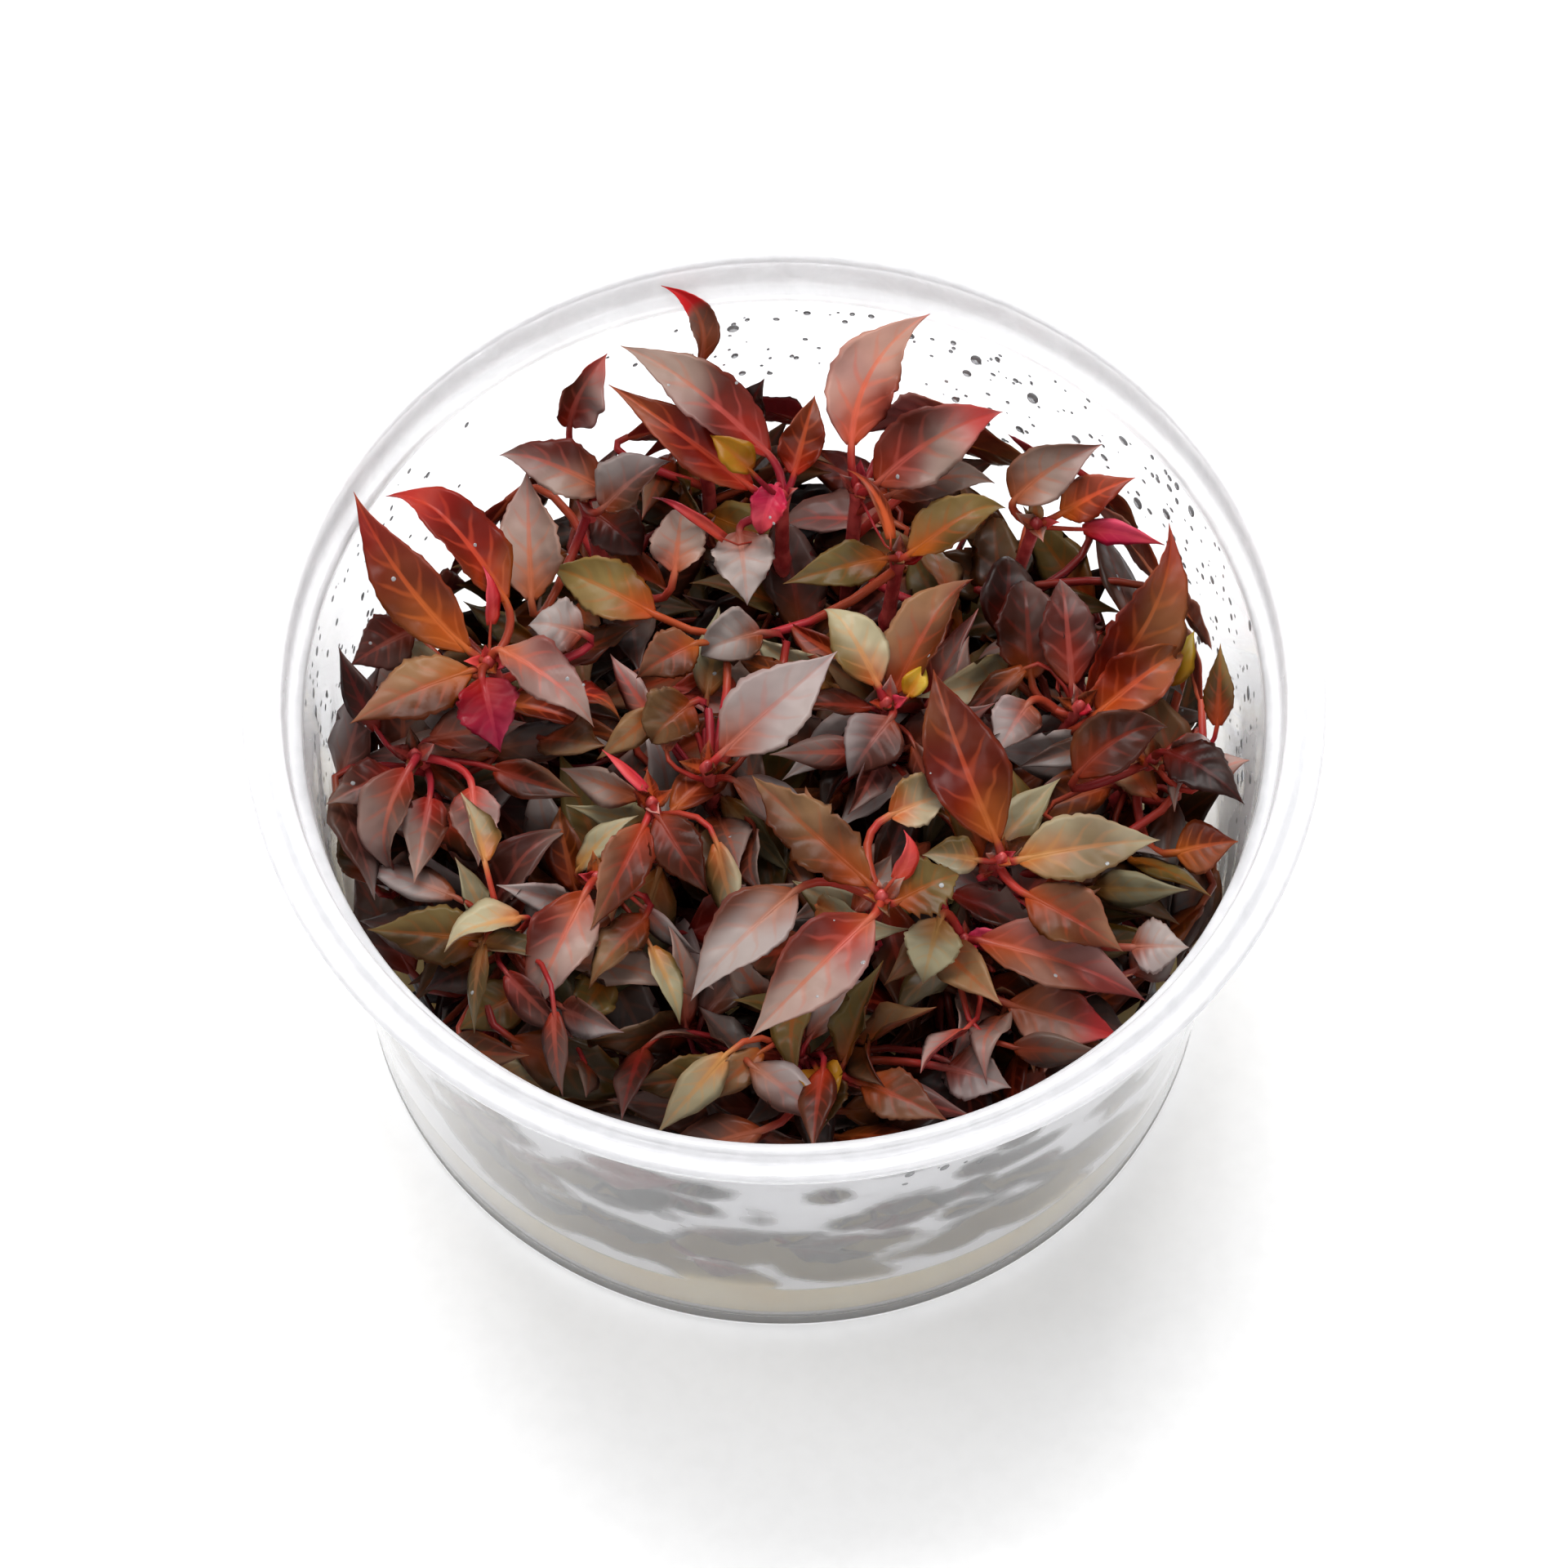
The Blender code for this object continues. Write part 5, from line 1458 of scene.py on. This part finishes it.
def cup_material():
    """Clear plastic, milky at the rim and fogged inside, but not where a leaf touches it; the front of the
    rim is greyed as painted shade.
    """
    nodes = Nodes("cup_plastic")
    fog = nodes.attribute("fog").outputs["Fac"]
    patch = nodes.ramp(nodes.noise(*FOG_PATCHES), *FOG_PATCH_RANGE)
    grazing = nodes.ramp(nodes.add("LayerWeight").outputs["Facing"], *GRAZING_HAZE)
    fog = nodes.math("ADD", nodes.times(fog, patch), grazing, clamp=True)
    clear = nodes.ramp(fog, 0.0, 1.0, *CLEAR_TO_FOGGED)
    rough = nodes.ramp(fog, 0.0, 1.0, *CUP_ROUGHNESS)
    _, depth, height = nodes.parts(nodes.place())
    above_ledge = nodes.ramp(height, (LEDGE_HEIGHT - 2) * MM, LEDGE_HEIGHT * MM)
    # Painted shade on the milky rim above the ledge, strongest at the front
    rim = nodes.times(nodes.ramp(fog, *FRONT_RIM_SHADE_EDGE), above_ledge)
    towards_front = nodes.ramp(depth, *(y * MM for y in FRONT_RIM_SHADE_DEPTHS), *FRONT_RIM_SHADE_STRENGTHS)
    rim = nodes.times(rim, towards_front)
    colour = nodes.mix(rim, PLASTIC, FRONT_RIM_SHADE)
    nodes.set(Base_Color=colour, Roughness=rough, IOR=1.49, Transmission_Weight=clear)
    return nodes.material


def gel_material():
    """Cloudy straw-coloured gel."""
    nodes = Nodes("gel")
    cloud = nodes.ramp(nodes.noise(90.0, 3.0), 0.3, 0.7)
    colour = nodes.mix(cloud, DARK_GEL, LIGHT_GEL)
    nodes.set(Base_Color=colour, Roughness=0.12, IOR=1.34, Transmission_Weight=GEL_CLEARNESS)
    nodes.bump(nodes.noise(140.0, 2.0), 0.15, 0.0003)
    return nodes.material


def water_material():
    """Clear water."""
    nodes = Nodes("water")
    tint = nodes.ramp(nodes.noise(500.0), 0.3, 0.7, 0.0, 1.0)
    nodes.set(Base_Color=nodes.mix(tint, DARK_WATER, LIGHT_WATER))
    nodes.set(Roughness=0.05, IOR=1.33, Transmission_Weight=WATER_CLEARNESS)
    return nodes.material


def rounded(profile, reach):
    """Section with each corner turned into a short curve."""
    points = [np.array(point) for point in profile]
    result = [points[0]]
    for before, here, after in zip(points, points[1:], points[2:]):
        back = before - here
        onward = after - here
        cut = min(reach, CORNER_CUT * np.linalg.norm(back), CORNER_CUT * np.linalg.norm(onward))
        start = here + back / np.linalg.norm(back) * cut
        end = here + onward / np.linalg.norm(onward) * cut
        for step in range(CORNER_STEPS + 1):
            t = step / CORNER_STEPS
            result.append(start * (1 - t) ** 2 + here * 2 * t * (1 - t) + end * t ** 2)
    result.append(points[-1])
    return [tuple(point) for point in result]


def finely(profile):
    """The same section with its long straight runs cut into short ones."""
    result = [profile[0]]
    for before, here in zip(profile, profile[1:]):
        pieces = max(1, int(math.dist(before, here) / LONGEST_RUN)) if before[0] and here[0] else 1
        for step in range(1, pieces + 1):
            t = step / pieces
            result.append((before[0] + (here[0] - before[0]) * t, before[1] + (here[1] - before[1]) * t))
    return result


def add_turned(name, profile, material):
    """Smooth turned solid."""
    shape = turned(profile, CUP_TURNS)
    mesh = bpy.data.meshes.new(name)
    mesh.from_pydata([v * MM for v in shape.verts], [], shape.faces)
    mesh.materials.append(material)
    mesh.shade_smooth()
    return link_object(name, mesh)


def settle(piece, slot, *nodes):
    """Piece that rides with the cup and stands for the solids named."""
    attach(piece, "root")
    if nodes:
        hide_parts(*nodes)


def tree_of_surfaces(surfaces):
    """Search tree of everything in some surfaces."""
    points = []
    faces = []
    for surface in surfaces:
        start = len(points)
        points.extend(np.concatenate(surface.points).tolist())
        faces.extend([i + start for i in face] for face in surface.faces)
    return BVHTree.FromPolygons(points, faces)


def add_plants():
    """Every plantlet with the leaves fused to it, and every top leaf; gives the search tree of all leaves."""
    materials = {kind: leaf_material(kind) for kind in LEAF_LOOKS}
    materials["stem"] = stem_material()
    top_leaves, fused = plan_plants()
    chance = random.Random(SEED + 2)
    everything = []
    for name, (sighting, leaf) in top_leaves.items():
        surface = Surface()
        middle = stem_point(sighting.plantlet, min(leaf.root.z, PLANTLETS[sighting.plantlet][1]))
        habit = HABITS.get(name) or some_habit(leaf, chance)
        add_leaf(surface, leaf._replace(root=middle), sighting.kind, habit, chance, True)
        settle(surface.make(name + "_blade", materials), "leaf_" + sighting.kind, name)
        everything.append(surface)
    for plantlet, grown in fused.items():
        surface = Surface()
        add_stem(surface, plantlet, chance)
        for leaf, kind, fine in grown:
            add_leaf(surface, leaf, kind, some_habit(leaf, chance), chance, fine)
        settle(surface.make("plantlet_" + plantlet, materials), "stem", "stem_" + plantlet)
        everything.append(surface)
    return tree_of_surfaces(everything)


def share_between(value, low, high):
    """How far a value has come from a low to a high one, from 0 to 1."""
    return min(max((value - low) / (high - low), 0.0), 1.0)


def fog_at(place, leaves):
    """How milky the cup is at a place: less so high up and at the back."""
    if place.z > LEDGE_HEIGHT - 0.8:
        return RIM_FOG
    if place.z < FLOOR_HEIGHT:
        return FOOT_FOG
    if math.hypot(place.x, place.y) > inner_radius(place.z) + 0.2 or place.z < GEL_TOP + 0.5:
        return OUTER_FOG
    found = leaves.find_nearest(place, WIPED_REACH[1])[3]
    near = 1.0 if found is None else share_between(found, *WIPED_REACH)
    upper = 1 - (1 - UPPER_FOG) * share_between(place.z, *FOG_TOP)
    back = 1 - (1 - BACK_FOG) * share_between(place.y, *FOG_BACK)
    return upper * back * (WIPED_FOG + (1 - WIPED_FOG) * near)


def add_vessel(leaves):
    """The cup and the gel in it."""
    cup = add_turned("culture_cup", finely(rounded(cup_profile(), CUP_CORNERS)), cup_material())
    fog = cup.data.attributes.new("fog", "FLOAT", "POINT")
    fog.data.foreach_set("value", [fog_at(vertex.co / MM, leaves) for vertex in cup.data.vertices])
    settle(cup, "cup", "cup")
    gel = add_turned("gel_disc", rounded(gel_profile(), GEL_CORNERS), gel_material())
    settle(gel, "gel", "culture_gel")


def add_bead(surface, centre, out, size, stretch):
    """Flattened bead of water that clings to a face."""
    side = unit(np.cross(out, (0.3, 0.2, 0.9)))
    upward = np.cross(side, out) * stretch
    angle = np.linspace(0, 2 * np.pi, DROP_SIDES, endpoint=False)
    ring = np.cos(angle)[:, None] * side - np.sin(angle)[:, None] * upward
    rings = [centre + out * (size * DROP_HEIGHT * math.sin(lean)) + ring * (size * max(math.cos(lean), 0.05))
             for lean in np.linspace(0.0, np.pi / 2, DROP_RINGS)]
    surface.add_rings(np.array(rings), np.zeros((DROP_RINGS, DROP_SIDES, 3)), 0.0, "water")


def add_drops(leaves):
    """Drops on the inner wall, in the patches where the photograph shows them, and on the upper leaves."""
    chance = random.Random(SEED + 3)
    surface = Surface()
    for middle, spread, low, high, count in DROP_PATCHES:
        for _ in range(count):
            turn = math.radians(chance.gauss(middle, spread))
            height = chance.uniform(low, high)
            out = np.array([math.cos(turn), math.sin(turn), 0.0])
            centre = out * (inner_radius(height) + 0.05) + np.array([0.0, 0.0, height])
            size = min(chance.lognormvariate(math.log(DROP_SIZE), DROP_SPREAD), LARGEST_DROP)
            add_bead(surface, centre, -out, size, chance.uniform(*DROP_STRETCHES))
    for _ in range(LEAF_DROPS):
        radius = BASE_RADIUS * math.sqrt(chance.random())
        angle = chance.uniform(0, 2 * math.pi)
        start = Vector((radius * math.cos(angle), radius * math.sin(angle), CUP_HEIGHT))
        place, normal, _, _ = leaves.ray_cast(start, Vector((0.0, 0.0, -1.0)))
        size = chance.uniform(*LEAF_DROP_SIZES)
        if place and normal.z > 0.3:
            add_bead(surface, np.array(place - normal * 0.03), np.array(normal), size, 1.0)
    settle(surface.make("condensation", {"water": water_material()}), "cup")


def add_light(name, place, size, power):
    """Soft rectangular light aimed at the cup."""
    lamp = bpy.data.lights.new(name, "AREA")
    lamp.shape = "RECTANGLE"
    lamp.size, lamp.size_y = size
    lamp.energy = power
    light = link_object(name, lamp)
    light.location = place
    light.rotation_euler = (LIGHT_AIM - Vector(place)).to_track_quat("-Z", "Y").to_euler()


def add_stage():
    """White floor in white surroundings, and the lights."""
    bpy.ops.mesh.primitive_plane_add(size=FLOOR_SIZE, location=(0.0, 0.0, -0.0002))
    floor = bpy.context.object
    floor.name = "floor"
    paper = Nodes("floor")
    grain = paper.ramp(paper.noise(400.0, 2.0), 0.3, 0.7)
    paper.set(Base_Color=paper.mix(grain, DARK_PAPER, LIGHT_PAPER), Roughness=0.9)
    floor.data.materials.append(paper.material)
    world = bpy.data.worlds.new("studio")
    world.use_nodes = True
    world.node_tree.nodes["Background"].inputs["Color"].default_value = (1.0, 1.0, 1.0, 1.0)
    world.node_tree.nodes["Background"].inputs["Strength"].default_value = WORLD_STRENGTH
    bpy.context.scene.world = world
    for light in LIGHTS:
        add_light(*light)


def add_camera():
    """Camera where the photograph was taken from."""
    data = bpy.data.cameras.new("camera")
    data.sensor_width = 36.0
    data.lens = VIEW_FOCAL_PIXELS * 36.0 / 1920.0
    camera = link_object("camera", data)
    back = Vector((0.0, -math.cos(VIEW_ELEVATION), math.sin(VIEW_ELEVATION)))
    camera.location = (VIEW_TARGET + back * VIEW_DISTANCE) * MM
    camera.rotation_euler = (math.pi / 2 - VIEW_ELEVATION, 0.0, 0.0)
    bpy.context.scene.camera = camera


for name in ("Cube", "Light", "Camera"):
    if name in bpy.data.objects:
        bpy.data.objects.remove(bpy.data.objects[name], do_unlink=True)
bpy.context.scene.view_settings.view_transform = "Standard"
add_camera()
add_stage()
leaf_tree = add_plants()
add_vessel(leaf_tree)
add_drops(leaf_tree)
